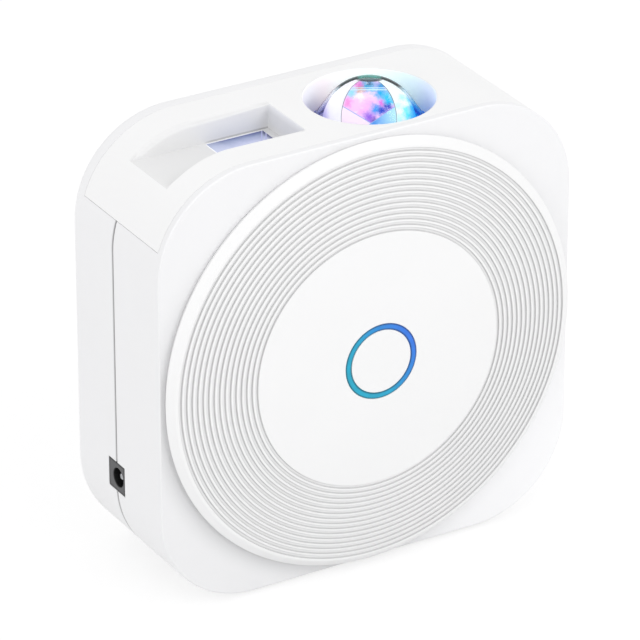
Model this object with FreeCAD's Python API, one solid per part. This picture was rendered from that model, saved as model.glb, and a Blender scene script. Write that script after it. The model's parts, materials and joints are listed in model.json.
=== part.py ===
"""Square star and nebula projector: casing, crowned front disc, button, laser optics and dome optics.

Millimetres. +Z is up, -Y is the front with the round disc, -X is the side with the power inlet.
The origin is on the surface that the feet stand on, under the middle of the whole depth and width.
OVER is how far a cutting solid reaches past the face that it cuts.
"""

import FreeCAD
import Part

import math
import os

# ---------------------------------------------------------------- driving dimensions
# Casing
BODY_WIDTH = 132.0
BODY_HEIGHT = 132.0
BODY_DEPTH = 50.0
CORNER_RADIUS = 29.5
FRONT_EDGE_RADIUS = 0.5
REAR_EDGE_RADIUS = 3.5
WALL = 2.4
SEAM_FROM_FRONT = 25.6
SEAM_GAP = 0.3
TONGUE_THICKNESS = 1.1
TONGUE_REACH = 1.6
TONGUE_ROOT = 2.0
FIT_GAP = 0.1
FOOT_RISE = 1.0

# Front disc
DISC_RISE = 7.6
DISC_RADIUS = 65.1
DISC_LAND_RADIUS = 63.0
DISC_BEVEL_DEPTH = 1.8
DISC_EDGE_THICKNESS = 0.3
DISC_NECK_RADIUS = 62.4
DISC_CROWN_RADIUS = 518.0
DISC_SKIN = 2.2
DISC_SHADOW_GAP = 0.4
GROOVE_COUNT = 15
GROOVE_PITCH = 1.62
GROOVE_WIDTH = 0.92
GROOVE_DEPTH = 0.55
GROOVE_CHAMFER = 0.1
FIRST_GROOVE_RADIUS = 39.0
FRONT_OPENING_RADIUS = 30.0

# Light ring and button
RING_OUTER_RADIUS = 11.35
RING_WIDTH = 1.7
RING_LENGTH = 6.3
RING_SETBACK = 0.12
RING_FLANGE = 1.6
RING_FLANGE_THICKNESS = 1.0
RING_SHOULDER_SETBACK = 3.3
BUTTON_GAP = 0.15
BUTTON_SKIN = 2.0
BUTTON_SIDE_WALL = 1.4
BUTTON_STEM_RADIUS = 2.0
BUTTON_FLANGE_THICKNESS = 1.0
BUTTON_TRAVEL = 0.4
BUTTON_FLANGE = 0.55
BUTTON_BOARD_RADIUS = 27.0

# Top cover
COVER_AXIS_Y = 1.9
COVER_HALF_WIDTH = 20.8
COVER_DROP = 20.5
COVER_SKIN = 1.6
COVER_GAP = 0.15
COVER_LIP = 1.6

# Laser recess and window
OPTICS_AXIS_Y = 0.8
RECESS_HALF_WIDTH = 9.9
RECESS_END_X = -13.0
RECESS_DEPTH = 7.4
WINDOW_LENGTH = 18.7
WINDOW_HALF_WIDTH = 9.3
WINDOW_END_MARGIN = 1.9
WINDOW_SEAT = 0.8
WINDOW_SINK = 0.5
WINDOW_THICKNESS = 1.2
WINDOW_CORNER_RADIUS = 1.0

# Dome well, bell lens and petal lens
WELL_X = 13.5
WELL_RADIUS = 18.5
WELL_DEPTH = 10.2
WELL_WALL = 1.0
WELL_FLOOR = 1.6
WELL_EDGE_RADIUS = 0.5
DOME_RADIUS = 14.0
DOME_CENTRE_DEPTH = 8.9
DOME_SKIN = 0.6
BELL_FLARE_DEG = 34.0
BELL_FLANGE = 1.0
PETAL_GAP = 0.3
PETAL_SKIN = 1.2
PETAL_CAP_RADIUS = 2.8
PETAL_FOOT_RISE = 1.0

# Gear trains: wheel and pinion of each
PINION_TEETH = 14
ROTOR_MODULE = 0.6
ROTOR_TEETH = 56
GRATING_MODULE = 0.5
GRATING_TEETH = 44
GEAR_WIDTH = 3.0
PRESSURE_ANGLE_DEG = 20.0
WHEEL_ADDENDUM = 0.7
PINION_ADDENDUM = 0.85
DEDENDUM = 1.25
TOOTH_THINNING = 0.12
RUNNING_GAP = 0.08

# Optics carrier
CARRIER_DROP = 21.8
CARRIER_THICKNESS = 2.5
CARRIER_HALF_LENGTH = 55.0
CARRIER_HALF_WIDTH = 18.5
CARRIER_CORNER_RADIUS = 4.0
LAMP_HOLE_GAP = 0.6
POST_RADIUS = 3.0
POST_X = 50.0
POST_OFFSET_Y = 15.2

# Power inlet
INLET_SIZE = 9.0
INLET_LENGTH = 14.0
INLET_HEIGHT = 32.5
INLET_BORE_RADIUS = 2.8
INLET_BORE_DEPTH = 10.5
INLET_BORE_SHIFT = 0.8
INLET_PIN_RADIUS = 1.05
INLET_PIN_SETBACK = 1.0
INLET_TAIL = 2.0
INLET_TAIL_RADIUS = 0.8
INLET_PIN_TIP_RADIUS = 0.4
CRADLE_WALL = 1.6
CRADLE_RIB = 2.0
CRADLE_REACH = 7.0

# Fasteners
CASE_SCREW_RADIUS = 1.4
CASE_SCREW_LENGTH = 20.0
CASE_HEAD_RADIUS = 2.7
CASE_HEAD_HEIGHT = 2.0
CASE_BOSS_RADIUS = 3.8
COUNTERBORE_RADIUS = 3.0
SEAT_BEHIND_SEAM = 11.0
UPPER_SCREW_INSET = 9.5
UPPER_SCREW_RISE = 31.0
LOWER_SCREW_INSET = 16.0
SMALL_SCREW_RADIUS = 0.9
SMALL_SCREW_BITE = 3.0
SMALL_HEAD_RADIUS = 1.9
SMALL_HEAD_HEIGHT = 1.3
SCREW_GAP = 0.05
PRESS_GAP = 0.01
THROUGH_GAP = 0.25
PILOT_SPARE = 0.5
CROSS_WIDTH_SHARE = 0.28
CROSS_DEPTH_SHARE = 0.5
CROSS_REACH_SHARE = 0.65

# Feet
FOOT_RADIUS = 4.5
FOOT_RECESS = 0.8
FOOT_EDGE_RADIUS = 0.4
FOOT_X = 28.0
FOOT_OFFSET_Y = 14.5

# Modelling
OVER = 1.0
NEAR = 1e-4

# ---------------------------------------------------------------- places worked out from them
DEPTH = BODY_DEPTH + DISC_RISE
APEX_Y = -DEPTH / 2
FRONT_Y = APEX_Y + DISC_RISE
BACK_Y = DEPTH / 2
SEAM_Y = FRONT_Y + SEAM_FROM_FRONT
BASE_Z = FOOT_RISE
TOP_Z = BASE_Z + BODY_HEIGHT
MID_Z = BASE_Z + BODY_HEIGHT / 2
SIDE_X = BODY_WIDTH / 2

FLOOR_Z = TOP_Z - RECESS_DEPTH
WINDOW_X = RECESS_END_X - WINDOW_END_MARGIN - WINDOW_LENGTH / 2
WELL_FLOOR_Z = TOP_Z - WELL_DEPTH
DOME_Z = TOP_Z - DOME_CENTRE_DEPTH
CARRIER_TOP_Z = TOP_Z - CARRIER_DROP
CARRIER_UNDER_Z = CARRIER_TOP_Z - CARRIER_THICKNESS
INLET_Z = BASE_Z + INLET_HEIGHT


def vec(x, y, z):
    return FreeCAD.Vector(x, y, z)


# ---------------------------------------------------------------- basic solids
def box(x0, x1, y0, y1, z0, z1):
    return Part.makeBox(x1 - x0, y1 - y0, z1 - z0, vec(x0, y0, z0))


def rod_x(y, z, radius, x0, x1):
    return Part.makeCylinder(radius, x1 - x0, vec(x0, y, z), vec(1, 0, 0))


def rod_y(x, z, radius, y0, y1):
    return Part.makeCylinder(radius, y1 - y0, vec(x, y0, z), vec(0, 1, 0))


def rod_z(x, y, radius, z0, z1):
    return Part.makeCylinder(radius, z1 - z0, vec(x, y, z0), vec(0, 0, 1))


def joined(solids):
    """One solid out of solids that touch or overlap."""
    return solids[0].multiFuse(solids[1:]).removeSplitter()


def cut_all(solid, tools):
    return solid.cut(Part.makeCompound(tools)) if len(tools) > 1 else solid.cut(tools[0])


def revolved_z(points, x, y):
    """Solid of revolution about the vertical line at x, y. Points are (radius, height)."""
    outline = Part.makePolygon([vec(x + r, y, z) for r, z in points + points[:1]])
    return Part.Face(outline).revolve(vec(x, y, 0), vec(0, 0, 1), 360)


def rounded_prism(inset, y0, y1):
    """Casing outline, moved inwards by inset, from y0 to y1."""
    half_w = BODY_WIDTH / 2 - inset
    half_h = BODY_HEIGHT / 2 - inset
    radius = CORNER_RADIUS - inset
    diagonal = radius * math.sqrt(0.5)
    edges = []
    corners = [(1, 1), (-1, 1), (-1, -1), (1, -1)]
    ends = []
    for sx, sz in corners:
        cx, cz = sx * (half_w - radius), MID_Z + sz * (half_h - radius)
        on_side = vec(sx * half_w, y0, cz)
        on_top = vec(cx, y0, MID_Z + sz * half_h)
        middle = vec(cx + sx * diagonal, y0, cz + sz * diagonal)
        first, last = (on_side, on_top) if sx * sz > 0 else (on_top, on_side)
        edges.append(Part.Arc(first, middle, last).toShape())
        ends.append((first, last))
    for i in range(len(corners)):
        edges.append(Part.makeLine(ends[i][1], ends[(i + 1) % len(corners)][0]))
    outline = Part.Wire(Part.__sortEdges__(edges))
    return Part.Face(outline).extrude(vec(0, y1 - y0, 0))


def edges_at_y(solid, y):
    return [e for e in solid.Edges if abs(e.BoundBox.YMin - y) < NEAR and abs(e.BoundBox.YMax - y) < NEAR]


def edges_at_z(solid, z):
    return [e for e in solid.Edges if abs(e.BoundBox.ZMin - z) < NEAR and abs(e.BoundBox.ZMax - z) < NEAR]


def upright_edges(solid):
    height = solid.BoundBox.ZLength
    return [e for e in solid.Edges if abs(e.BoundBox.ZLength - height) < NEAR]


# ---------------------------------------------------------------- gears
FLANK_STEPS = 4


def gear_outline(teeth, module, addendum, phase):
    """Points of an involute gear's outline about the origin, with a tooth's middle at angle phase."""
    pitch_r = module * teeth / 2
    base_r = pitch_r * math.cos(math.radians(PRESSURE_ANGLE_DEG))
    tip_r = pitch_r + addendum * module
    root_r = pitch_r - DEDENDUM * module
    half_tooth = (math.pi * module / 2 - TOOTH_THINNING) / 2 / pitch_r

    def involute(r):
        lean = math.acos(min(1.0, base_r / r))
        return math.tan(lean) - lean

    start_r = max(base_r, root_r)
    points = []
    for i in range(teeth):
        middle = phase + 2 * math.pi * i / teeth
        flank = []
        for k in range(FLANK_STEPS + 1):
            r = start_r + (tip_r - start_r) * k / FLANK_STEPS
            flank.append((r, half_tooth + involute(pitch_r) - involute(r)))
        if root_r < start_r:
            flank.insert(0, (root_r, flank[0][1]))
        points += [(r, middle - a) for r, a in flank]
        points += [(r, middle + a) for r, a in reversed(flank)]
    return [(r * math.cos(a), r * math.sin(a)) for r, a in points]


def gear(teeth, module, addendum, phase, x, y, z0, z1):
    points = [vec(x + px, y + py, z0) for px, py in gear_outline(teeth, module, addendum, phase)]
    return Part.Face(Part.makePolygon(points + points[:1])).extrude(vec(0, 0, z1 - z0))


def pinion_phase(direction):
    """Tooth phase that puts a gap of the pinion opposite a wheel's tooth that points in direction."""
    return direction + math.pi + math.pi / PINION_TEETH


# ---------------------------------------------------------------- fasteners
def small_screw(x, y, z_seat, length, upwards=True):
    """Pan head screw along Z: the head's seat is at z_seat, and the shank goes up or down from it."""
    way = 1 if upwards else -1
    head = Part.makeCylinder(SMALL_HEAD_RADIUS, SMALL_HEAD_HEIGHT, vec(x, y, z_seat), vec(0, 0, -way))
    shank = Part.makeCylinder(SMALL_SCREW_RADIUS, length, vec(x, y, z_seat), vec(0, 0, way))
    half = SMALL_SCREW_RADIUS * CROSS_WIDTH_SHARE
    reach = SMALL_HEAD_RADIUS * CROSS_REACH_SHARE
    top = z_seat - way * SMALL_HEAD_HEIGHT
    z0, z1 = sorted((top, top + way * SMALL_HEAD_HEIGHT * CROSS_DEPTH_SHARE))
    slots = [
        box(x - reach, x + reach, y - half, y + half, z0, z1),
        box(x - half, x + half, y - reach, y + reach, z0, z1),
    ]
    return cut_all(head.fuse(shank).removeSplitter(), slots)


def y_screw(x, z, y_seat, length, radius, head_radius, head_height):
    """Pan head screw along Y, put in from the rear: head behind y_seat, shank in front of it."""
    head = rod_y(x, z, head_radius, y_seat, y_seat + head_height)
    shank = rod_y(x, z, radius, y_seat - length, y_seat)
    half = radius * CROSS_WIDTH_SHARE
    reach = head_radius * CROSS_REACH_SHARE
    y1 = y_seat + head_height
    y0 = y1 - head_height * CROSS_DEPTH_SHARE
    slots = [
        box(x - reach, x + reach, y0, y1, z - half, z + half),
        box(x - half, x + half, y0, y1, z - reach, z + reach),
    ]
    return cut_all(head.fuse(shank).removeSplitter(), slots)


# ---------------------------------------------------------------- places of fasteners and supports
CASE_SCREWS = [
    (sx * (SIDE_X - UPPER_SCREW_INSET), MID_Z + UPPER_SCREW_RISE) for sx in (-1, 1)
] + [
    (sx * (SIDE_X - LOWER_SCREW_INSET), BASE_Z + LOWER_SCREW_INSET) for sx in (-1, 1)
]
CASE_SEAT_Y = SEAM_Y + SEAT_BEHIND_SEAM

DISC_POST_CIRCLE = 50.0
DISC_POST_COUNT = 6
DISC_POST_TURN_DEG = 30.0
DISC_POST_RADIUS = 2.6
BOARD_POST_CIRCLE = 22.0
BOARD_POST_COUNT = 3
BOARD_POST_TURN_DEG = 90.0
BUTTON_BOARD_SETBACK = 0.6
BUTTON_BOARD_Y = FRONT_Y + BUTTON_BOARD_SETBACK
BUTTON_BOARD_THICKNESS = 1.6

POSTS = [
    (sx * POST_X, COVER_AXIS_Y + sy * POST_OFFSET_Y) for sx in (-1, 1) for sy in (-1, 1)
]
FEET = [
    (sx * FOOT_X, SEAM_Y + sy * FOOT_OFFSET_Y) for sx in (-1, 1) for sy in (-1, 1)
]

MAIN_BOARD_HALF_WIDTH = 35.0
MAIN_BOARD_HEIGHT = 50.0
MAIN_BOARD_RISE = 14.0
MAIN_BOARD_Z = BASE_Z + MAIN_BOARD_RISE
MAIN_BOARD_THICKNESS = 1.6
MAIN_STANDOFF = 5.0
MAIN_STANDOFF_RADIUS = 3.0
MAIN_BOARD_Y = BACK_Y - WALL - MAIN_STANDOFF - MAIN_BOARD_THICKNESS
MAIN_HOLE_INSET = 4.0
MAIN_SCREWS = [
    (sx * (MAIN_BOARD_HALF_WIDTH - MAIN_HOLE_INSET), z)
    for sx in (-1, 1)
    for z in (MAIN_BOARD_Z + MAIN_HOLE_INSET, MAIN_BOARD_Z + MAIN_BOARD_HEIGHT - MAIN_HOLE_INSET)
]


def on_circle(radius, count, turn):
    """Points in the front plane, on a circle about the disc's middle."""
    angles = [math.radians(turn) + 2 * math.pi * i / count for i in range(count)]
    return [(radius * math.cos(a), MID_Z + radius * math.sin(a)) for a in angles]


DISC_POSTS = on_circle(DISC_POST_CIRCLE, DISC_POST_COUNT, DISC_POST_TURN_DEG)
BOARD_POSTS = on_circle(BOARD_POST_CIRCLE, BOARD_POST_COUNT, BOARD_POST_TURN_DEG)


def crown_y(radius, inset=0.0):
    """Y of the disc's crowned face at a distance from its middle."""
    sphere = DISC_CROWN_RADIUS - inset
    return APEX_Y + DISC_CROWN_RADIUS - math.sqrt(sphere ** 2 - radius ** 2)


# ---------------------------------------------------------------- casing
def cover_region(grow, inset_from, inset_to):
    """Part of the casing's skin that the top cover takes up, between two insets from the outside."""
    band = box(
        -SIDE_X - OVER, SIDE_X + OVER,
        COVER_AXIS_Y - COVER_HALF_WIDTH - grow, COVER_AXIS_Y + COVER_HALF_WIDTH + grow,
        TOP_Z - COVER_DROP - grow, TOP_Z + OVER,
    )
    outside = rounded_prism(inset_from, FRONT_Y - OVER, BACK_Y + OVER).common(band)
    return outside.cut(rounded_prism(inset_to, FRONT_Y - 2 * OVER, BACK_Y + 2 * OVER))


def casing():
    """Both shells in one piece, hollow, before the parting cut."""
    outside = rounded_prism(0, FRONT_Y, BACK_Y)
    outside = outside.makeFillet(FRONT_EDGE_RADIUS, edges_at_y(outside, FRONT_Y))
    outside = outside.makeFillet(REAR_EDGE_RADIUS, edges_at_y(outside, BACK_Y))
    inside = rounded_prism(WALL, FRONT_Y + WALL, BACK_Y - WALL)
    inside = inside.makeFillet(REAR_EDGE_RADIUS - WALL, edges_at_y(inside, BACK_Y - WALL))
    return outside.cut(inside)


def cover_cuts():
    """What both shells lose for the top cover: its skin, and the opening inside the lip."""
    skin = cover_region(COVER_GAP, -OVER, COVER_SKIN + FIT_GAP)
    opening = cover_region(-COVER_LIP, -OVER, WALL + OVER)
    well = rod_z(WELL_X, OPTICS_AXIS_Y, WELL_RADIUS + WELL_WALL + COVER_GAP, MID_Z, TOP_Z + OVER)
    return [skin, opening, well]


def inlet_pocket():
    half = INLET_SIZE / 2 + FIT_GAP
    return box(-SIDE_X - OVER, -SIDE_X + INLET_LENGTH + FIT_GAP, SEAM_Y - half, SEAM_Y + half,
               INLET_Z - half, INLET_Z + half)


def inlet_cradle(y0, y1):
    rib = INLET_SIZE / 2 + CRADLE_RIB
    return box(-SIDE_X + WALL / 2, -SIDE_X + WALL + CRADLE_REACH, y0, y1, INLET_Z - rib, INLET_Z + rib)


def foot_recesses():
    return [rod_z(x, y, FOOT_RADIUS + FIT_GAP, BASE_Z - OVER, BASE_Z + FOOT_RECESS) for x, y in FEET]


def front_shell():
    room = box(-SIDE_X - OVER, SIDE_X + OVER, FRONT_Y - OVER, SEAM_Y - SEAM_GAP / 2, 0, TOP_Z + OVER)
    shell = casing().common(room)
    tongue = rounded_prism(WALL - TONGUE_THICKNESS, SEAM_Y - TONGUE_ROOT, SEAM_Y + TONGUE_REACH)
    tongue = tongue.cut(rounded_prism(WALL, SEAM_Y - TONGUE_ROOT - OVER, SEAM_Y + TONGUE_REACH + OVER))
    boss_y = SEAM_Y - SEAM_GAP / 2
    bosses = [rod_y(x, z, CASE_BOSS_RADIUS, FRONT_Y + WALL / 2, boss_y) for x, z in CASE_SCREWS]
    cradle_front = SEAM_Y - INLET_SIZE / 2 - CRADLE_WALL
    shell = joined([shell, tongue, inlet_cradle(cradle_front, boss_y)] + bosses)
    cuts = cover_cuts() + [inlet_pocket()] + foot_recesses()
    cuts.append(rod_y(0, MID_Z, FRONT_OPENING_RADIUS, FRONT_Y - OVER, FRONT_Y + WALL + OVER))
    bite = CASE_SEAT_Y - CASE_SCREW_LENGTH - PILOT_SPARE
    cuts += [rod_y(x, z, CASE_SCREW_RADIUS + SCREW_GAP, bite, SEAM_Y + OVER) for x, z in CASE_SCREWS]
    hole = SMALL_SCREW_RADIUS + THROUGH_GAP
    cuts += [rod_y(x, z, hole, FRONT_Y - OVER, FRONT_Y + WALL + OVER) for x, z in DISC_POSTS]
    return cut_all(shell, cuts)


def rear_shell():
    room = box(-SIDE_X - OVER, SIDE_X + OVER, SEAM_Y + SEAM_GAP / 2, BACK_Y + OVER, 0, TOP_Z + OVER)
    shell = casing().common(room)
    rebate_outer = WALL - TONGUE_THICKNESS - FIT_GAP
    rebate = rounded_prism(rebate_outer, SEAM_Y - OVER, SEAM_Y + TONGUE_REACH + FIT_GAP)
    bosses = [rod_y(x, z, CASE_BOSS_RADIUS, SEAM_Y + SEAM_GAP / 2, BACK_Y - WALL / 2) for x, z in CASE_SCREWS]
    standoff_y = MAIN_BOARD_Y + MAIN_BOARD_THICKNESS
    standoffs = [rod_y(x, z, MAIN_STANDOFF_RADIUS, standoff_y, BACK_Y - WALL / 2) for x, z in MAIN_SCREWS]
    cradle_rear = SEAM_Y + INLET_SIZE / 2 + CRADLE_WALL
    cradle = inlet_cradle(SEAM_Y + SEAM_GAP / 2, cradle_rear)
    shell = joined([shell.cut(rebate)] + bosses + standoffs + [cradle.cut(rebate_ring())])
    cuts = cover_cuts() + [inlet_pocket()] + foot_recesses()
    for x, z in CASE_SCREWS:
        cuts.append(rod_y(x, z, CASE_SCREW_RADIUS + THROUGH_GAP, SEAM_Y - OVER, CASE_SEAT_Y + OVER))
        cuts.append(rod_y(x, z, COUNTERBORE_RADIUS, CASE_SEAT_Y, BACK_Y + OVER))
    pilot = standoff_y + SMALL_SCREW_BITE + PILOT_SPARE
    cuts += [rod_y(x, z, SMALL_SCREW_RADIUS + SCREW_GAP, MAIN_BOARD_Y, pilot) for x, z in MAIN_SCREWS]
    return cut_all(shell, cuts)


def rebate_ring():
    """Room that the front shell's tongue takes up behind the parting line."""
    outer = rounded_prism(WALL - TONGUE_THICKNESS - FIT_GAP, SEAM_Y - OVER, SEAM_Y + TONGUE_REACH + FIT_GAP)
    return outer.cut(rounded_prism(WALL + FIT_GAP, SEAM_Y - 2 * OVER, SEAM_Y + TONGUE_REACH + OVER))


def case_screws():
    return [
        y_screw(x, z, CASE_SEAT_Y, CASE_SCREW_LENGTH, CASE_SCREW_RADIUS, CASE_HEAD_RADIUS, CASE_HEAD_HEIGHT)
        for x, z in CASE_SCREWS
    ]


def rubber_feet():
    feet = []
    for x, y in FEET:
        pad = rod_z(x, y, FOOT_RADIUS, 0, BASE_Z + FOOT_RECESS)
        feet.append(pad.makeFillet(FOOT_EDGE_RADIUS, edges_at_z(pad, 0)))
    return feet


# ---------------------------------------------------------------- front disc, light ring and button
def disc_profile():
    """Outline of the disc's half section as (radius, y), outside first, from the ring hole outwards."""
    hole = RING_OUTER_RADIUS + FIT_GAP
    face = []
    for i in range(GROOVE_COUNT):
        middle = FIRST_GROOVE_RADIUS + i * GROOVE_PITCH
        inner, outer = middle - GROOVE_WIDTH / 2, middle + GROOVE_WIDTH / 2
        floor = crown_y(middle) + GROOVE_DEPTH
        face += [
            (inner - GROOVE_CHAMFER, crown_y(inner - GROOVE_CHAMFER)),
            (inner, crown_y(inner) + GROOVE_CHAMFER),
            (inner, floor),
            (outer, floor),
            (outer, crown_y(outer) + GROOVE_CHAMFER),
            (outer + GROOVE_CHAMFER, crown_y(outer + GROOVE_CHAMFER)),
        ]
    return hole, face


def front_disc():
    hole, face = disc_profile()
    inner_wall = DISC_NECK_RADIUS - DISC_SKIN
    back = FRONT_Y - DISC_SHADOW_GAP

    def at(point):
        return vec(point[0], point[1], MID_Z)

    middle = (hole + face[0][0]) / 2
    edges = [Part.Arc(at((hole, crown_y(hole))), at((middle, crown_y(middle))), at(face[0])).toShape()]
    edges += [Part.makeLine(at(a), at(b)) for a, b in zip(face, face[1:])]
    bevel_foot = crown_y(DISC_LAND_RADIUS) + DISC_BEVEL_DEPTH
    rim_back = bevel_foot + DISC_EDGE_THICKNESS
    under_middle = (hole + inner_wall) / 2
    tail = [
        face[-1],
        (DISC_LAND_RADIUS, crown_y(DISC_LAND_RADIUS)),
        (DISC_RADIUS, bevel_foot),
        (DISC_RADIUS, rim_back),
        (DISC_NECK_RADIUS, rim_back),
        (DISC_NECK_RADIUS, back),
        (inner_wall, back),
        (inner_wall, crown_y(inner_wall, DISC_SKIN)),
    ]
    edges += [Part.makeLine(at(a), at(b)) for a, b in zip(tail, tail[1:])]
    edges.append(Part.Arc(
        at(tail[-1]),
        at((under_middle, crown_y(under_middle, DISC_SKIN))),
        at((hole, crown_y(hole, DISC_SKIN))),
    ).toShape())
    edges.append(Part.makeLine(at((hole, crown_y(hole, DISC_SKIN))), at((hole, crown_y(hole)))))
    section = Part.Face(Part.Wire(edges))
    disc = section.revolve(vec(0, 0, MID_Z), vec(0, 1, 0), 360)
    start = crown_y(DISC_POST_CIRCLE) + DISC_SKIN / 2
    posts = [rod_y(x, z, DISC_POST_RADIUS, start, FRONT_Y) for x, z in DISC_POSTS]
    start = crown_y(BOARD_POST_CIRCLE) + DISC_SKIN / 2
    posts += [rod_y(x, z, DISC_POST_RADIUS, start, BUTTON_BOARD_Y) for x, z in BOARD_POSTS]
    pilot = SMALL_SCREW_RADIUS + SCREW_GAP
    depth = SMALL_SCREW_BITE + FIT_GAP
    holes = [rod_y(x, z, pilot, FRONT_Y - depth, FRONT_Y + OVER) for x, z in DISC_POSTS]
    holes += [rod_y(x, z, pilot, BUTTON_BOARD_Y - depth, BUTTON_BOARD_Y + OVER) for x, z in BOARD_POSTS]
    return cut_all(joined([disc] + posts), holes)


RING_INNER_RADIUS = RING_OUTER_RADIUS - RING_WIDTH
RING_BACK_Y = APEX_Y + RING_LENGTH
SHOULDER_Y = APEX_Y + RING_SHOULDER_SETBACK
BUTTON_RADIUS = RING_INNER_RADIUS - BUTTON_GAP


def ring_light_guide():
    front = APEX_Y + RING_SETBACK
    wide = RING_INNER_RADIUS + BUTTON_FLANGE + BUTTON_GAP
    body = rod_y(0, MID_Z, RING_OUTER_RADIUS, front, RING_BACK_Y)
    flange_y = crown_y(RING_OUTER_RADIUS, DISC_SKIN) + FIT_GAP
    flange = rod_y(0, MID_Z, RING_OUTER_RADIUS + RING_FLANGE, flange_y, flange_y + RING_FLANGE_THICKNESS)
    bores = [
        rod_y(0, MID_Z, RING_INNER_RADIUS, APEX_Y - OVER, RING_BACK_Y),
        rod_y(0, MID_Z, wide, SHOULDER_Y, RING_BACK_Y + OVER),
    ]
    return cut_all(joined([body, flange]), bores)


def button_cap():
    """Crowned cap with a retaining flange behind the light ring's shoulder and a stem for the switch."""
    crown = Part.makeSphere(DISC_CROWN_RADIUS, vec(0, APEX_Y + DISC_CROWN_RADIUS, MID_Z))
    flange_y = SHOULDER_Y + FIT_GAP
    flange_end = flange_y + BUTTON_FLANGE_THICKNESS
    skin_y = APEX_Y + BUTTON_SKIN
    block = rod_y(0, MID_Z, BUTTON_RADIUS, APEX_Y - OVER, flange_end).common(crown)
    flange = rod_y(0, MID_Z, BUTTON_RADIUS + BUTTON_FLANGE, flange_y, flange_end)
    hollow = rod_y(0, MID_Z, BUTTON_RADIUS - BUTTON_SIDE_WALL, skin_y, flange_end + OVER)
    stem = rod_y(0, MID_Z, BUTTON_STEM_RADIUS, skin_y - BUTTON_SKIN / 2, STEM_END_Y)
    return joined([joined([block, flange]).cut(hollow), stem])


SWITCH_HALF = 3.1
SWITCH_HEIGHT = 3.8
SWITCH_FACE_Y = BUTTON_BOARD_Y - SWITCH_HEIGHT
PLUNGER_RADIUS = 1.6
PLUNGER_PROUD = 1.2
PLUNGER_INSIDE = 1.0
PLUNGER_SPARE = 0.2
STEM_END_Y = SWITCH_FACE_Y - PLUNGER_PROUD


def switch_base():
    body = box(-SWITCH_HALF, SWITCH_HALF, SWITCH_FACE_Y, BUTTON_BOARD_Y,
               MID_Z - SWITCH_HALF, MID_Z + SWITCH_HALF)
    floor_y = SWITCH_FACE_Y + PLUNGER_INSIDE + BUTTON_TRAVEL + PLUNGER_SPARE
    return body.cut(rod_y(0, MID_Z, PLUNGER_RADIUS + RUNNING_GAP, SWITCH_FACE_Y - OVER, floor_y))


def switch_plunger():
    return rod_y(0, MID_Z, PLUNGER_RADIUS, SWITCH_FACE_Y - PLUNGER_PROUD, SWITCH_FACE_Y + PLUNGER_INSIDE)


def button_board():
    back = BUTTON_BOARD_Y + BUTTON_BOARD_THICKNESS
    board = rod_y(0, MID_Z, BUTTON_BOARD_RADIUS, BUTTON_BOARD_Y, back)
    hole = SMALL_SCREW_RADIUS + THROUGH_GAP
    holes = [rod_y(x, z, hole, BUTTON_BOARD_Y - OVER, back + OVER) for x, z in BOARD_POSTS]
    return cut_all(board, holes)


RING_LED_COUNT = 8
RING_LED_HALF_WIDTH = 0.8
RING_LED_HALF_LENGTH = 1.5
RING_LED_GAP = 0.2


def ring_leds():
    radius = (RING_INNER_RADIUS + RING_OUTER_RADIUS) / 2
    leds = []
    for i in range(RING_LED_COUNT):
        led = box(radius - RING_LED_HALF_WIDTH, radius + RING_LED_HALF_WIDTH,
                  RING_BACK_Y + RING_LED_GAP, BUTTON_BOARD_Y,
                  MID_Z - RING_LED_HALF_LENGTH, MID_Z + RING_LED_HALF_LENGTH)
        led.rotate(vec(0, 0, MID_Z), vec(0, 1, 0), 360 * (i + 0.5) / RING_LED_COUNT)
        leds.append(led)
    return leds


def rear_faced_screws(places, y_seat, sheet):
    length = sheet + SMALL_SCREW_BITE
    return [
        y_screw(x, z, y_seat, length, SMALL_SCREW_RADIUS, SMALL_HEAD_RADIUS, SMALL_HEAD_HEIGHT)
        for x, z in places
    ]


def disc_screws():
    return rear_faced_screws(DISC_POSTS, FRONT_Y + WALL, WALL)


def button_board_screws():
    return rear_faced_screws(BOARD_POSTS, BUTTON_BOARD_Y + BUTTON_BOARD_THICKNESS, BUTTON_BOARD_THICKNESS)


# ---------------------------------------------------------------- top cover and what shows in it
BUSH_WALL = 1.6
ROTOR_TUBE_LEDGE = 0.9
ROTOR_TUBE_RADIUS = DOME_RADIUS - DOME_SKIN - PETAL_GAP + ROTOR_TUBE_LEDGE
BUSH_INNER_RADIUS = ROTOR_TUBE_RADIUS + RUNNING_GAP
BUSH_RADIUS = BUSH_INNER_RADIUS + BUSH_WALL
WELL_HOLE_RADIUS = BUSH_RADIUS + FIT_GAP


def recess_space(grow):
    """The recess as a box that runs out through the casing's left corner, grown by a wall."""
    return box(
        -SIDE_X - OVER, RECESS_END_X + grow,
        OPTICS_AXIS_Y - RECESS_HALF_WIDTH - grow, OPTICS_AXIS_Y + RECESS_HALF_WIDTH + grow,
        FLOOR_Z - grow, TOP_Z + OVER,
    )


def window_outline(grow, z0, z1):
    half = WINDOW_LENGTH / 2 + grow
    plate = box(WINDOW_X - half, WINDOW_X + half, OPTICS_AXIS_Y - WINDOW_HALF_WIDTH - grow,
                OPTICS_AXIS_Y + WINDOW_HALF_WIDTH + grow, z0, z1)
    return plate.makeFillet(WINDOW_CORNER_RADIUS, upright_edges(plate))


def around_well(edge):
    """Whether the edge lies on the well's bore."""
    samples = 5
    distances = [math.hypot(p.x - WELL_X, p.y - OPTICS_AXIS_Y) for p in edge.discretize(samples)]
    return all(abs(d - WELL_RADIUS) < NEAR for d in distances)


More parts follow.
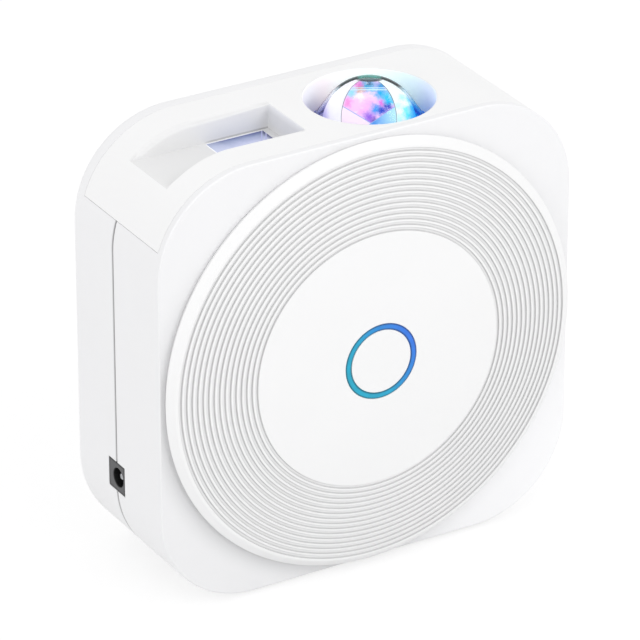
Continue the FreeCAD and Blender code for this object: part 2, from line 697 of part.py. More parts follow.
def top_cover():
    skin = cover_region(0, 0, COVER_SKIN)
    inside_casing = rounded_prism(0, FRONT_Y, BACK_Y)
    liner = recess_space(COVER_SKIN).common(inside_casing)
    well_under = WELL_FLOOR_Z - WELL_FLOOR
    well = rod_z(WELL_X, OPTICS_AXIS_Y, WELL_RADIUS + WELL_WALL, well_under, TOP_Z)
    within = rounded_prism(COVER_SKIN / 2, FRONT_Y, BACK_Y)
    posts = [rod_z(x, y, POST_RADIUS, CARRIER_TOP_Z, TOP_Z).common(within) for x, y in POSTS]
    cover = joined([skin, liner, well] + posts)
    floor_under = FLOOR_Z - COVER_SKIN - OVER
    cuts = [
        recess_space(0),
        rod_z(WELL_X, OPTICS_AXIS_Y, WELL_RADIUS, WELL_FLOOR_Z, TOP_Z + OVER),
        rod_z(WELL_X, OPTICS_AXIS_Y, WELL_HOLE_RADIUS, well_under - OVER, TOP_Z),
        window_outline(0, floor_under, FLOOR_Z + OVER),
        window_outline(WINDOW_SEAT + FIT_GAP, floor_under, FLOOR_Z - WINDOW_SINK),
    ]
    pilot = SMALL_SCREW_RADIUS + SCREW_GAP
    pilot_top = CARRIER_TOP_Z + SMALL_SCREW_BITE + PILOT_SPARE
    cuts += [rod_z(x, y, pilot, CARRIER_TOP_Z - OVER, pilot_top) for x, y in POSTS]
    cover = cut_all(cover, cuts)
    rim = [e for e in cover.Edges if e.BoundBox.ZMin > WELL_FLOOR_Z + WELL_EDGE_RADIUS and around_well(e)]
    return cover.makeFillet(WELL_EDGE_RADIUS, rim)


def laser_window():
    top = FLOOR_Z - WINDOW_SINK - FIT_GAP
    return window_outline(WINDOW_SEAT, top - WINDOW_THICKNESS, top)


PROFILE_STEPS = 10


def dome_section(radius, flare_from, flange_out, flange_top, flange_under):
    """Half section, as (radius, height), of a sphere that runs out into a cone at the bell's flare."""
    lean = math.radians(BELL_FLARE_DEG)
    points = []
    for i in range(PROFILE_STEPS + 1):
        rise = math.pi / 2 - (math.pi / 2 - lean) * i / PROFILE_STEPS
        points.append((radius * math.cos(rise), DOME_Z + radius * math.sin(rise)))
    foot_r, foot_z = points[-1]
    points.append((foot_r + (foot_z - flare_from) * math.tan(lean), flare_from))
    if flange_out:
        points += [(flange_out, flange_top), (flange_out, flange_under)]
    return points


def dome_lens():
    flange_top = WELL_FLOOR_Z + BELL_FLANGE
    flange_out = WELL_RADIUS - 2 * COVER_GAP
    outside = dome_section(DOME_RADIUS, flange_top, flange_out, flange_top, WELL_FLOOR_Z)
    inside = dome_section(DOME_RADIUS - DOME_SKIN, WELL_FLOOR_Z, None, 0, 0)
    points = outside + inside[::-1]
    points[0] = (0, points[0][1])
    points[-1] = (0, points[-1][1])
    return revolved_z(points, WELL_X, OPTICS_AXIS_Y)


PETAL_RADIUS = DOME_RADIUS - DOME_SKIN - PETAL_GAP
PETAL_FOOT_Z = WELL_FLOOR_Z + PETAL_FOOT_RISE
SPIGOT_DEPTH = 2.0
SPIGOT_WALL = 0.9
ROTOR_TUBE_WALL = 1.1
ROTOR_BORE = ROTOR_TUBE_RADIUS - ROTOR_TUBE_WALL


def petal_lens():
    """Round lens with a flat cap, open below, with a spigot that plugs into the rotor's tube."""
    cap_rise = math.acos(PETAL_CAP_RADIUS / PETAL_RADIUS)
    foot_rise = math.asin((PETAL_FOOT_Z - DOME_Z) / PETAL_RADIUS)
    cap_z = DOME_Z + PETAL_RADIUS * math.sin(cap_rise)
    outside = [(0, cap_z)]
    inside_r = PETAL_RADIUS - PETAL_SKIN
    inside = [(0, cap_z - PETAL_SKIN)]
    for i in range(PROFILE_STEPS + 1):
        rise = cap_rise + (foot_rise - cap_rise) * i / PROFILE_STEPS
        outside.append((PETAL_RADIUS * math.cos(rise), DOME_Z + PETAL_RADIUS * math.sin(rise)))
        inside.append((inside_r * math.cos(rise), DOME_Z + inside_r * math.sin(rise)))
    spigot_r = ROTOR_BORE - FIT_GAP / 2
    spigot = [
        (spigot_r, PETAL_FOOT_Z),
        (spigot_r, PETAL_FOOT_Z - SPIGOT_DEPTH),
        (spigot_r - SPIGOT_WALL, PETAL_FOOT_Z - SPIGOT_DEPTH),
    ]
    return revolved_z(outside + spigot + inside[::-1], WELL_X, OPTICS_AXIS_Y)


# ---------------------------------------------------------------- dome rotor and its drive
THRUST_GAP = 0.3
ROTOR_BASE_Z = CARRIER_TOP_Z + THRUST_GAP
ROTOR_TOP_Z = ROTOR_BASE_Z + GEAR_WIDTH
ROTOR_CENTRES = ROTOR_MODULE * (ROTOR_TEETH + PINION_TEETH) / 2
NEBULA_MOTOR_X = WELL_X + ROTOR_CENTRES
WHEEL_POINTS = 0.0


def rotor_gear():
    wheel = gear(ROTOR_TEETH, ROTOR_MODULE, WHEEL_ADDENDUM, WHEEL_POINTS, WELL_X, OPTICS_AXIS_Y,
                 ROTOR_BASE_Z, ROTOR_TOP_Z)
    sleeve = rod_z(WELL_X, OPTICS_AXIS_Y, ROTOR_TUBE_RADIUS, ROTOR_BASE_Z, PETAL_FOOT_Z - FIT_GAP / 2)
    return joined([wheel, sleeve]).cut(rod_z(WELL_X, OPTICS_AXIS_Y, ROTOR_BORE, ROTOR_BASE_Z - OVER, TOP_Z))


BUSH_COLLAR = 1.4
BUSH_COLLAR_HEIGHT = 1.5


def rotor_bush():
    under = ROTOR_TOP_Z + THRUST_GAP
    collar_top = WELL_FLOOR_Z - WELL_FLOOR - FIT_GAP
    collar_radius = BUSH_RADIUS + BUSH_COLLAR
    sleeve = rod_z(WELL_X, OPTICS_AXIS_Y, BUSH_RADIUS, under, WELL_FLOOR_Z)
    collar = rod_z(WELL_X, OPTICS_AXIS_Y, collar_radius, collar_top - BUSH_COLLAR_HEIGHT, collar_top)
    return joined([sleeve, collar]).cut(rod_z(WELL_X, OPTICS_AXIS_Y, BUSH_INNER_RADIUS, under - OVER, TOP_Z))


SHAFT_RADIUS = 0.75
MOTOR_BOSS_RADIUS = 2.0
MOTOR_BOSS_HEIGHT = 1.5
MOTOR_SCREW_OFFSET = 4.3
MOTOR_EDGE_RADIUS = 0.6
SHAFT_BELOW = 1.0
SHAFT_ABOVE = 0.5
SCREW_SINK = 1.4


def pinion(module, direction, x, z0, z1):
    teeth = gear(PINION_TEETH, module, PINION_ADDENDUM, pinion_phase(direction), x, OPTICS_AXIS_Y, z0, z1)
    return teeth.cut(rod_z(x, OPTICS_AXIS_Y, SHAFT_RADIUS + PRESS_GAP, z0 - OVER, z1 + OVER))


def motor(x, radius, length):
    """Can with a boss on top, a bore for the shaft and two threaded holes."""
    body = rod_z(x, OPTICS_AXIS_Y, radius, CARRIER_UNDER_Z - length, CARRIER_UNDER_Z)
    body = body.makeFillet(MOTOR_EDGE_RADIUS, edges_at_z(body, CARRIER_UNDER_Z - length))
    boss_top = CARRIER_UNDER_Z + MOTOR_BOSS_HEIGHT
    boss = rod_z(x, OPTICS_AXIS_Y, MOTOR_BOSS_RADIUS, CARRIER_UNDER_Z - OVER, boss_top)
    bore_under = CARRIER_UNDER_Z - SHAFT_BELOW - PILOT_SPARE
    bore = rod_z(x, OPTICS_AXIS_Y, SHAFT_RADIUS + RUNNING_GAP / 2, bore_under, boss_top + OVER)
    holes = [
        rod_z(x, OPTICS_AXIS_Y + s * MOTOR_SCREW_OFFSET, SMALL_SCREW_RADIUS + SCREW_GAP,
              CARRIER_UNDER_Z - SMALL_SCREW_BITE - PILOT_SPARE, CARRIER_UNDER_Z + OVER)
        for s in (-1, 1)
    ]
    return cut_all(joined([body, boss]), [bore] + holes)


def motor_shaft(x, pinion_top):
    return rod_z(x, OPTICS_AXIS_Y, SHAFT_RADIUS, CARRIER_UNDER_Z - SHAFT_BELOW, pinion_top + SHAFT_ABOVE)


def motor_screws(x):
    length = CARRIER_THICKNESS - SCREW_SINK + SMALL_SCREW_BITE
    seat_z = CARRIER_TOP_Z - SCREW_SINK
    return [
        small_screw(x, OPTICS_AXIS_Y + s * MOTOR_SCREW_OFFSET, seat_z, length, upwards=False)
        for s in (-1, 1)
    ]


NEBULA_MOTOR_RADIUS = 7.5
NEBULA_MOTOR_LENGTH = 20.0
LASER_MOTOR_RADIUS = 6.5
LASER_MOTOR_LENGTH = 16.0
GRATING_CENTRES = GRATING_MODULE * (GRATING_TEETH + PINION_TEETH) / 2
LASER_MOTOR_X = WINDOW_X - GRATING_CENTRES


# ---------------------------------------------------------------- lamp under the dome
LAMP_TO_MOTOR_GAP = 0.5
HOLDER_RADIUS = ROTOR_CENTRES - NEBULA_MOTOR_RADIUS - LAMP_TO_MOTOR_GAP
HOLDER_LENGTH = 10.2
CONDENSER_RADIUS = 7.9
CONDENSER_SEAT = 6.7
CONDENSER_RIM = 1.6
CONDENSER_RISE = 3.4
LAMP_BORE = 6.6
HOLDER_UNDER_Z = CARRIER_UNDER_Z - HOLDER_LENGTH
CONDENSER_Z = CARRIER_UNDER_Z - CONDENSER_SEAT
LED_BOARD_THICKNESS = 1.6
LED_BOARD_UNDER_Z = HOLDER_UNDER_Z - LED_BOARD_THICKNESS
SINK_BASE = 3.0
SINK_FIN_LENGTH = 10.0
SINK_UNDER_Z = LED_BOARD_UNDER_Z - SINK_BASE
LAMP_SCREW_EDGE = 0.5
LAMP_SCREW_OFFSET = HOLDER_RADIUS - SMALL_HEAD_RADIUS - LAMP_SCREW_EDGE
LAMP_SCREW_SPARE = 0.6
LAMP_TAB_HALF = 3.0
LAMP_TAB_REACH = 4.5
LAMP_SCREWS = [(WELL_X, OPTICS_AXIS_Y + s * LAMP_SCREW_OFFSET) for s in (-1, 1)]


def lamp_holes(z0, z1):
    return [rod_z(x, y, SMALL_SCREW_RADIUS + THROUGH_GAP, z0, z1) for x, y in LAMP_SCREWS]


def lens_holder():
    body = rod_z(WELL_X, OPTICS_AXIS_Y, HOLDER_RADIUS, HOLDER_UNDER_Z, CARRIER_UNDER_Z)
    cuts = [
        rod_z(WELL_X, OPTICS_AXIS_Y, CONDENSER_RADIUS + FIT_GAP, CONDENSER_Z, CARRIER_UNDER_Z + OVER),
        rod_z(WELL_X, OPTICS_AXIS_Y, LAMP_BORE, HOLDER_UNDER_Z - OVER, CARRIER_UNDER_Z + OVER),
    ]
    return cut_all(body, cuts + lamp_holes(HOLDER_UNDER_Z - OVER, CARRIER_UNDER_Z + OVER))


def condenser_lens():
    """Flat below, domed above."""
    sphere = (CONDENSER_RADIUS ** 2 + CONDENSER_RISE ** 2) / (2 * CONDENSER_RISE)
    centre_z = CONDENSER_Z + CONDENSER_RIM + CONDENSER_RISE - sphere
    points = [(0, CONDENSER_Z), (CONDENSER_RADIUS, CONDENSER_Z)]
    for i in range(PROFILE_STEPS + 1):
        r = CONDENSER_RADIUS * (1 - i / PROFILE_STEPS)
        points.append((r, centre_z + math.sqrt(sphere ** 2 - r ** 2)))
    return revolved_z(points, WELL_X, OPTICS_AXIS_Y)


def led_board():
    board = rod_z(WELL_X, OPTICS_AXIS_Y, HOLDER_RADIUS, LED_BOARD_UNDER_Z, HOLDER_UNDER_Z)
    edge = OPTICS_AXIS_Y + HOLDER_RADIUS
    tab = box(WELL_X - LAMP_TAB_HALF, WELL_X + LAMP_TAB_HALF, edge - OVER, edge + LAMP_TAB_REACH,
              LED_BOARD_UNDER_Z, HOLDER_UNDER_Z)
    return cut_all(joined([board, tab]), lamp_holes(LED_BOARD_UNDER_Z - OVER, HOLDER_UNDER_Z + OVER))


EMITTER_HALF = 1.4
EMITTER_OFFSET = 1.9
EMITTER_HEIGHT = 1.2


def led_emitters():
    places = [
        (WELL_X + sx * EMITTER_OFFSET, OPTICS_AXIS_Y + sy * EMITTER_OFFSET)
        for sx in (-1, 1)
        for sy in (-1, 1)
    ]
    return [
        box(x - EMITTER_HALF, x + EMITTER_HALF, y - EMITTER_HALF, y + EMITTER_HALF,
            HOLDER_UNDER_Z, HOLDER_UNDER_Z + EMITTER_HEIGHT)
        for x, y in places
    ]


FIN_COUNT = 7
FIN_HALF = 0.6
FIN_PITCH = 3.2
FIN_REACH = 7.5


def heat_sink():
    base = rod_z(WELL_X, OPTICS_AXIS_Y, HOLDER_RADIUS, SINK_UNDER_Z, LED_BOARD_UNDER_Z)
    fins = []
    for i in range(FIN_COUNT):
        x = WELL_X + (i - (FIN_COUNT - 1) / 2) * FIN_PITCH
        fins.append(box(x - FIN_HALF, x + FIN_HALF, OPTICS_AXIS_Y - FIN_REACH, OPTICS_AXIS_Y + FIN_REACH,
                        SINK_UNDER_Z - SINK_FIN_LENGTH, SINK_UNDER_Z + OVER))
    return cut_all(joined([base] + fins), lamp_holes(SINK_UNDER_Z - OVER, LED_BOARD_UNDER_Z + OVER))


def lamp_screws():
    length = CARRIER_TOP_Z - SINK_UNDER_Z - LAMP_SCREW_SPARE
    return [small_screw(x, y, SINK_UNDER_Z, length) for x, y in LAMP_SCREWS]


# ---------------------------------------------------------------- laser under the window
BARREL_RADIUS = 6.0
BARREL_SINK = 0.6
BARREL_TOP_Z = CARRIER_TOP_Z - BARREL_SINK
BARREL_LENGTH = 25.0
BARREL_LENS_DEPTH = 2.5
BARREL_LENS_SETBACK = 0.7
BARREL_LENS_RADIUS = 3.15
KNURL_COUNT = 24
KNURL_RADIUS = 0.35
KNURL_START = 2.0
KNURL_LENGTH = 4.0
BLOCK_TO_MOTOR_GAP = 0.4
BLOCK_HALF_X = GRATING_CENTRES - LASER_MOTOR_RADIUS - BLOCK_TO_MOTOR_GAP
BLOCK_HALF_Y = 11.0
BLOCK_HEIGHT = 18.0
BLOCK_SCREW_EDGE = 2.1
BLOCK_GROOVE_COUNT = 4
BLOCK_GROOVE_PITCH = 3.8
BLOCK_FIRST_GROOVE = 3.5
BLOCK_GROOVE_HALF = 0.8
BLOCK_GROOVE_DEPTH = 2.0
BLOCK_SCREWS = [
    (WINDOW_X + s * (BLOCK_HALF_X - BLOCK_SCREW_EDGE), OPTICS_AXIS_Y + s * (BLOCK_HALF_Y - BLOCK_SCREW_EDGE))
    for s in (-1, 1)
]
GRATING_BUSH_RADIUS = 7.6
GRATING_BUSH_COLLAR = 0.8
GRATING_RISE = 1.0
GRATING_BASE_Z = CARRIER_TOP_Z + GRATING_RISE
GRATING_COLLAR_GAP = 0.2
GRATING_TOP_Z = GRATING_BASE_Z + GEAR_WIDTH
GRATING_BORE = 6.2
GRATING_WEB = 0.4
GRATING_RIM_WALL = 1.0
FILM_RADIUS = 7.9
FILM_THICKNESS = 0.5
FILM_SINK = 0.2
BARREL_HOLE_GAP = 0.3


def laser_barrel():
    barrel = rod_z(WINDOW_X, OPTICS_AXIS_Y, BARREL_RADIUS, BARREL_TOP_Z - BARREL_LENGTH, BARREL_TOP_Z)
    band_z = BARREL_TOP_Z - BARREL_LENGTH + KNURL_START
    lens_seat = BARREL_LENS_RADIUS + SCREW_GAP
    cuts = [rod_z(WINDOW_X, OPTICS_AXIS_Y, lens_seat, BARREL_TOP_Z - BARREL_LENS_DEPTH, BARREL_TOP_Z + OVER)]
    for i in range(KNURL_COUNT):
        a = 2 * math.pi * i / KNURL_COUNT
        cuts.append(rod_z(WINDOW_X + BARREL_RADIUS * math.cos(a), OPTICS_AXIS_Y + BARREL_RADIUS * math.sin(a),
                          KNURL_RADIUS, band_z, band_z + KNURL_LENGTH))
    return cut_all(barrel, cuts)


def laser_lens():
    return rod_z(WINDOW_X, OPTICS_AXIS_Y, BARREL_LENS_RADIUS, BARREL_TOP_Z - BARREL_LENS_DEPTH,
                 BARREL_TOP_Z - BARREL_LENS_SETBACK)


def laser_block():
    block = box(WINDOW_X - BLOCK_HALF_X, WINDOW_X + BLOCK_HALF_X, OPTICS_AXIS_Y - BLOCK_HALF_Y,
                OPTICS_AXIS_Y + BLOCK_HALF_Y, CARRIER_UNDER_Z - BLOCK_HEIGHT, CARRIER_UNDER_Z)
    pilot = SMALL_SCREW_RADIUS + SCREW_GAP
    pilot_under = CARRIER_UNDER_Z - SMALL_SCREW_BITE - PILOT_SPARE
    cuts = [rod_z(WINDOW_X, OPTICS_AXIS_Y, BARREL_RADIUS + SCREW_GAP, MID_Z, CARRIER_UNDER_Z + OVER)]
    cuts += [rod_z(x, y, pilot, pilot_under, CARRIER_UNDER_Z + OVER) for x, y in BLOCK_SCREWS]
    groove_floor = BLOCK_HALF_Y - BLOCK_GROOVE_DEPTH
    for i in range(BLOCK_GROOVE_COUNT):
        z = CARRIER_UNDER_Z - BLOCK_FIRST_GROOVE - i * BLOCK_GROOVE_PITCH
        for s in (-1, 1):
            y0, y1 = sorted((OPTICS_AXIS_Y + s * BLOCK_HALF_Y, OPTICS_AXIS_Y + s * groove_floor))
            cuts.append(box(WINDOW_X - BLOCK_HALF_X, WINDOW_X + BLOCK_HALF_X, y0, y1,
                            z - BLOCK_GROOVE_HALF, z + BLOCK_GROOVE_HALF))
    return cut_all(block, cuts)


def block_screws():
    length = CARRIER_THICKNESS - SCREW_SINK + SMALL_SCREW_BITE
    return [small_screw(x, y, CARRIER_TOP_Z - SCREW_SINK, length, upwards=False) for x, y in BLOCK_SCREWS]


def grating_bush():
    collar = rod_z(WINDOW_X, OPTICS_AXIS_Y, GRATING_BUSH_RADIUS + GRATING_BUSH_COLLAR, CARRIER_TOP_Z,
                   GRATING_BASE_Z - GRATING_COLLAR_GAP)
    sleeve = rod_z(WINDOW_X, OPTICS_AXIS_Y, GRATING_BUSH_RADIUS, CARRIER_TOP_Z - CARRIER_THICKNESS / 2,
                   GRATING_TOP_Z - GRATING_WEB - GRATING_COLLAR_GAP)
    bore = rod_z(WINDOW_X, OPTICS_AXIS_Y, BARREL_RADIUS + BARREL_HOLE_GAP, CARRIER_UNDER_Z - OVER, FLOOR_Z)
    return joined([collar, sleeve]).cut(bore)


def grating_wheel():
    """Gear with a web that lies on the bush and a rim above it that holds the film."""
    wheel = gear(GRATING_TEETH, GRATING_MODULE, WHEEL_ADDENDUM, WHEEL_POINTS, WINDOW_X, OPTICS_AXIS_Y,
                 GRATING_BASE_Z, GRATING_TOP_Z)
    rim = rod_z(WINDOW_X, OPTICS_AXIS_Y, FILM_RADIUS + GRATING_RIM_WALL, GRATING_TOP_Z - GRATING_WEB,
                FILM_Z + FILM_THICKNESS + FILM_SINK)
    hub = GRATING_BUSH_RADIUS + RUNNING_GAP / 2
    cuts = [
        rod_z(WINDOW_X, OPTICS_AXIS_Y, hub, GRATING_BASE_Z - OVER, GRATING_TOP_Z - GRATING_WEB),
        rod_z(WINDOW_X, OPTICS_AXIS_Y, GRATING_BORE, GRATING_BASE_Z - OVER, FLOOR_Z),
        rod_z(WINDOW_X, OPTICS_AXIS_Y, FILM_RADIUS + FIT_GAP / 2, FILM_Z, FLOOR_Z),
    ]
    return cut_all(joined([wheel, rim]), cuts)


FILM_Z = GRATING_TOP_Z + GRATING_WEB


def grating_film():
    return rod_z(WINDOW_X, OPTICS_AXIS_Y, FILM_RADIUS, FILM_Z, FILM_Z + FILM_THICKNESS)


# ---------------------------------------------------------------- optics carrier
def optics_carrier():
    """Plate under the cover's posts that holds both motors, the lamp and the laser."""
    plate = box(-CARRIER_HALF_LENGTH, CARRIER_HALF_LENGTH, COVER_AXIS_Y - CARRIER_HALF_WIDTH,
                COVER_AXIS_Y + CARRIER_HALF_WIDTH, CARRIER_UNDER_Z, CARRIER_TOP_Z)
    plate = plate.makeFillet(CARRIER_CORNER_RADIUS, upright_edges(plate))
    z0, z1 = CARRIER_UNDER_Z - OVER, CARRIER_TOP_Z + OVER
    hole = SMALL_SCREW_RADIUS + THROUGH_GAP
    cuts = [rod_z(x, y, hole, z0, z1) for x, y in POSTS]
    cuts.append(rod_z(WELL_X, OPTICS_AXIS_Y, CONDENSER_RADIUS + LAMP_HOLE_GAP, z0, z1))
    cuts.append(rod_z(WINDOW_X, OPTICS_AXIS_Y, BARREL_RADIUS + BARREL_HOLE_GAP, z0, z1))
    cuts.append(rod_z(WINDOW_X, OPTICS_AXIS_Y, GRATING_BUSH_RADIUS + FIT_GAP / 2,
                      CARRIER_TOP_Z - CARRIER_THICKNESS / 2, z1))
    pilot = SMALL_SCREW_RADIUS + SCREW_GAP
    cuts += [rod_z(x, y, pilot, z0, CARRIER_TOP_Z - LAMP_SCREW_SPARE / 2) for x, y in LAMP_SCREWS]
    sunk = list(BLOCK_SCREWS)
    for x in (NEBULA_MOTOR_X, LASER_MOTOR_X):
        cuts.append(rod_z(x, OPTICS_AXIS_Y, MOTOR_BOSS_RADIUS + FIT_GAP, z0, z1))
        sunk += [(x, OPTICS_AXIS_Y + s * MOTOR_SCREW_OFFSET) for s in (-1, 1)]
    for x, y in sunk:
        cuts.append(rod_z(x, y, hole, z0, z1))
        cuts.append(rod_z(x, y, SMALL_HEAD_RADIUS + FIT_GAP, CARRIER_TOP_Z - SCREW_SINK, z1))
    return cut_all(plate, cuts)


def carrier_screws():
    length = CARRIER_THICKNESS + SMALL_SCREW_BITE
    return [small_screw(x, y, CARRIER_UNDER_Z, length) for x, y in POSTS]


# ---------------------------------------------------------------- power inlet and main board
BORE_Y = SEAM_Y - INLET_BORE_SHIFT


def inlet_housing():
    half = INLET_SIZE / 2
    body = box(-SIDE_X, -SIDE_X + INLET_LENGTH, SEAM_Y - half, SEAM_Y + half, INLET_Z - half, INLET_Z + half)
    bore = rod_x(BORE_Y, INLET_Z, INLET_BORE_RADIUS, -SIDE_X - OVER, -SIDE_X + INLET_BORE_DEPTH)
    seat = rod_x(BORE_Y, INLET_Z, INLET_TAIL_RADIUS + PRESS_GAP, -SIDE_X, -SIDE_X + INLET_LENGTH + OVER)
    return cut_all(body, [bore, seat])


def inlet_contact():
    """Centre pin of the power inlet, with its solder tail behind the housing."""
    floor_x = -SIDE_X + INLET_BORE_DEPTH
    tip_x = -SIDE_X + INLET_PIN_SETBACK
    pin = rod_x(BORE_Y, INLET_Z, INLET_PIN_RADIUS, tip_x, floor_x)
    tip = [e for e in pin.Edges if abs(e.BoundBox.XMax - tip_x) < NEAR]
    tail = rod_x(BORE_Y, INLET_Z, INLET_TAIL_RADIUS, floor_x, -SIDE_X + INLET_LENGTH + INLET_TAIL)
    return joined([pin.makeFillet(INLET_PIN_TIP_RADIUS, tip), tail])


def main_board():
    board = box(-MAIN_BOARD_HALF_WIDTH, MAIN_BOARD_HALF_WIDTH,
                MAIN_BOARD_Y, MAIN_BOARD_Y + MAIN_BOARD_THICKNESS,
                MAIN_BOARD_Z, MAIN_BOARD_Z + MAIN_BOARD_HEIGHT)
    hole = SMALL_SCREW_RADIUS + THROUGH_GAP
    return cut_all(board, [rod_y(x, z, hole, MAIN_BOARD_Y - OVER, BACK_Y) for x, z in MAIN_SCREWS])


def main_board_screws():
    """Put in from the front side of the board, into the rear shell's standoffs."""
    length = MAIN_BOARD_THICKNESS + SMALL_SCREW_BITE
    screws = []
    for x, z in MAIN_SCREWS:
        screw = y_screw(x, z, 0, length, SMALL_SCREW_RADIUS, SMALL_HEAD_RADIUS, SMALL_HEAD_HEIGHT)
        screw.rotate(vec(x, 0, z), vec(0, 0, 1), 180)
        screw.translate(vec(0, MAIN_BOARD_Y, 0))
        screws.append(screw)
    return screws


def on_board(x, z, width, height, rise):
    """A component that stands on the board's front side."""
    return box(x - width / 2, x + width / 2, MAIN_BOARD_Y - rise, MAIN_BOARD_Y,
               z - height / 2, z + height / 2)


MODULE_X = 18.0
MODULE_Z = MAIN_BOARD_Z + 30.0
MODULE_WIDTH = 18.0
MODULE_HEIGHT = 24.0
MODULE_RISE = 2.6


def wireless_module():
    return on_board(MODULE_X, MODULE_Z, MODULE_WIDTH, MODULE_HEIGHT, MODULE_RISE)


# x, height on the board, width, height and rise of each
CHIPS = [(-4, 30, 9, 9, 1.2), (-20, 34, 5, 4, 1.4), (-6, 15, 6, 5, 1.4), (3, 20, 4, 4, 1.2)]
# x, height on the board, radius and rise of each
CAPACITORS = [(-16, 22, 3.2, 8), (-16, 14.5, 3.2, 8), (-22, 8, 2.5, 6)]


def board_chips():
    return [on_board(x, MAIN_BOARD_Z + z, w, h, rise) for x, z, w, h, rise in CHIPS]


def capacitors():
    return [rod_y(x, MAIN_BOARD_Z + z, r, MAIN_BOARD_Y - rise, MAIN_BOARD_Y) for x, z, r, rise in CAPACITORS]


SOCKET_WIDTH = 7.0
SOCKET_HEIGHT = 5.0
SOCKET_RISE = 5.0
SOCKET_EDGE = 1.0
SOCKET_Z = MAIN_BOARD_Z + MAIN_BOARD_HEIGHT - SOCKET_EDGE - SOCKET_HEIGHT / 2
SOCKET_X = {"laser_motor": -20.0, "laser": -8.0, "lamp": 4.0, "nebula_motor": 16.0}
POWER_SOCKET_X = -28.0
BUTTON_SOCKET_X = 12.0
BUTTON_SOCKET_Z = MAIN_BOARD_Z + 6.0
BUTTON_LEAD_X = 7.0
BUTTON_LEAD_DROP = 16.0


def lead_sockets():
    places = [(x, SOCKET_Z) for x in SOCKET_X.values()]
    places += [(POWER_SOCKET_X, INLET_Z), (BUTTON_SOCKET_X, BUTTON_SOCKET_Z)]
    return [on_board(x, z, SOCKET_WIDTH, SOCKET_HEIGHT, SOCKET_RISE) for x, z in places]


# ---------------------------------------------------------------- leads
LEAD_RADIUS = 0.8
RUN_SHARE = 0.45


def lead(points):
    """Round lead along straight runs joined by the largest tangent arcs that the runs allow."""
    edges = []
    at = points[0]
    for before, corner, after in zip(points, points[1:], points[2:]):
        into, out = (corner - before), (after - corner)
        cut = RUN_SHARE * min(into.Length, out.Length)
        into.normalize()
        out.normalize()
        half_turn = into.getAngle(out) / 2
        radius = cut / math.tan(half_turn)
        first, last = corner - into * cut, corner + out * cut
        inward = (out - into).normalize()
        middle = corner + inward * (radius / math.cos(half_turn) - radius)
        edges.append(Part.makeLine(at, first))
        edges.append(Part.Arc(first, middle, last).toShape())
        at = last
        print("lead bend radius", round(radius, 1))
    edges.append(Part.makeLine(at, points[-1]))
    ring = Part.Wire(Part.makeCircle(LEAD_RADIUS, points[0], (points[1] - points[0]).normalize()))
    return Part.Wire(edges).makePipeShell([ring], True, False)


def offset_lead(start, end, way):
    """Lead that leaves start and reaches end in the same direction, and crosses over in between."""
    along = way * (end - start).dot(way)
    across = (end - start) - along
    shares = [(0, 0), (0.25, 0), (0.45, 0.2), (0.6, 0.8), (0.76, 1), (1, 1)]
    return lead([start + along * a + across * c for a, c in shares])


def corner_lead(start, end):
    """Lead that leaves start along X and reaches end along Y."""
    shares = [(0, 0), (0.3, 0), (0.66, 0.07), (0.91, 0.32), (1, 0.66), (1, 1)]
    gap = end - start
    return lead([start + vec(gap.x * a, gap.y * b, gap.z * b) for a, b in shares])


def leads():
    """From the inlet, both motors, the lamp, the laser and the button board to the main board's sockets."""
    starts = {
        "laser_motor": vec(LASER_MOTOR_X, OPTICS_AXIS_Y, CARRIER_UNDER_Z - LASER_MOTOR_LENGTH),
        "laser": vec(WINDOW_X, OPTICS_AXIS_Y, BARREL_TOP_Z - BARREL_LENGTH),
        "lamp": vec(WELL_X, OPTICS_AXIS_Y + HOLDER_RADIUS + LAMP_TAB_REACH / 2, LED_BOARD_UNDER_Z),
        "nebula_motor": vec(NEBULA_MOTOR_X, OPTICS_AXIS_Y, CARRIER_UNDER_Z - NEBULA_MOTOR_LENGTH),
    }
    socket_y = MAIN_BOARD_Y - SOCKET_RISE / 2
    made = [
        offset_lead(start, vec(SOCKET_X[name], socket_y, SOCKET_Z + SOCKET_HEIGHT / 2), vec(0, 0, -1))
        for name, start in starts.items()
    ]
    face_y = MAIN_BOARD_Y - SOCKET_RISE
    button_start = vec(BUTTON_LEAD_X, BUTTON_BOARD_Y + BUTTON_BOARD_THICKNESS, MID_Z - BUTTON_LEAD_DROP)
    made.append(offset_lead(button_start, vec(BUTTON_SOCKET_X, face_y, BUTTON_SOCKET_Z), vec(0, 1, 0)))
    inlet_start = vec(-SIDE_X + INLET_LENGTH + INLET_TAIL, BORE_Y, INLET_Z)
    made.append(corner_lead(inlet_start, vec(POWER_SOCKET_X, face_y, INLET_Z)))
    return made


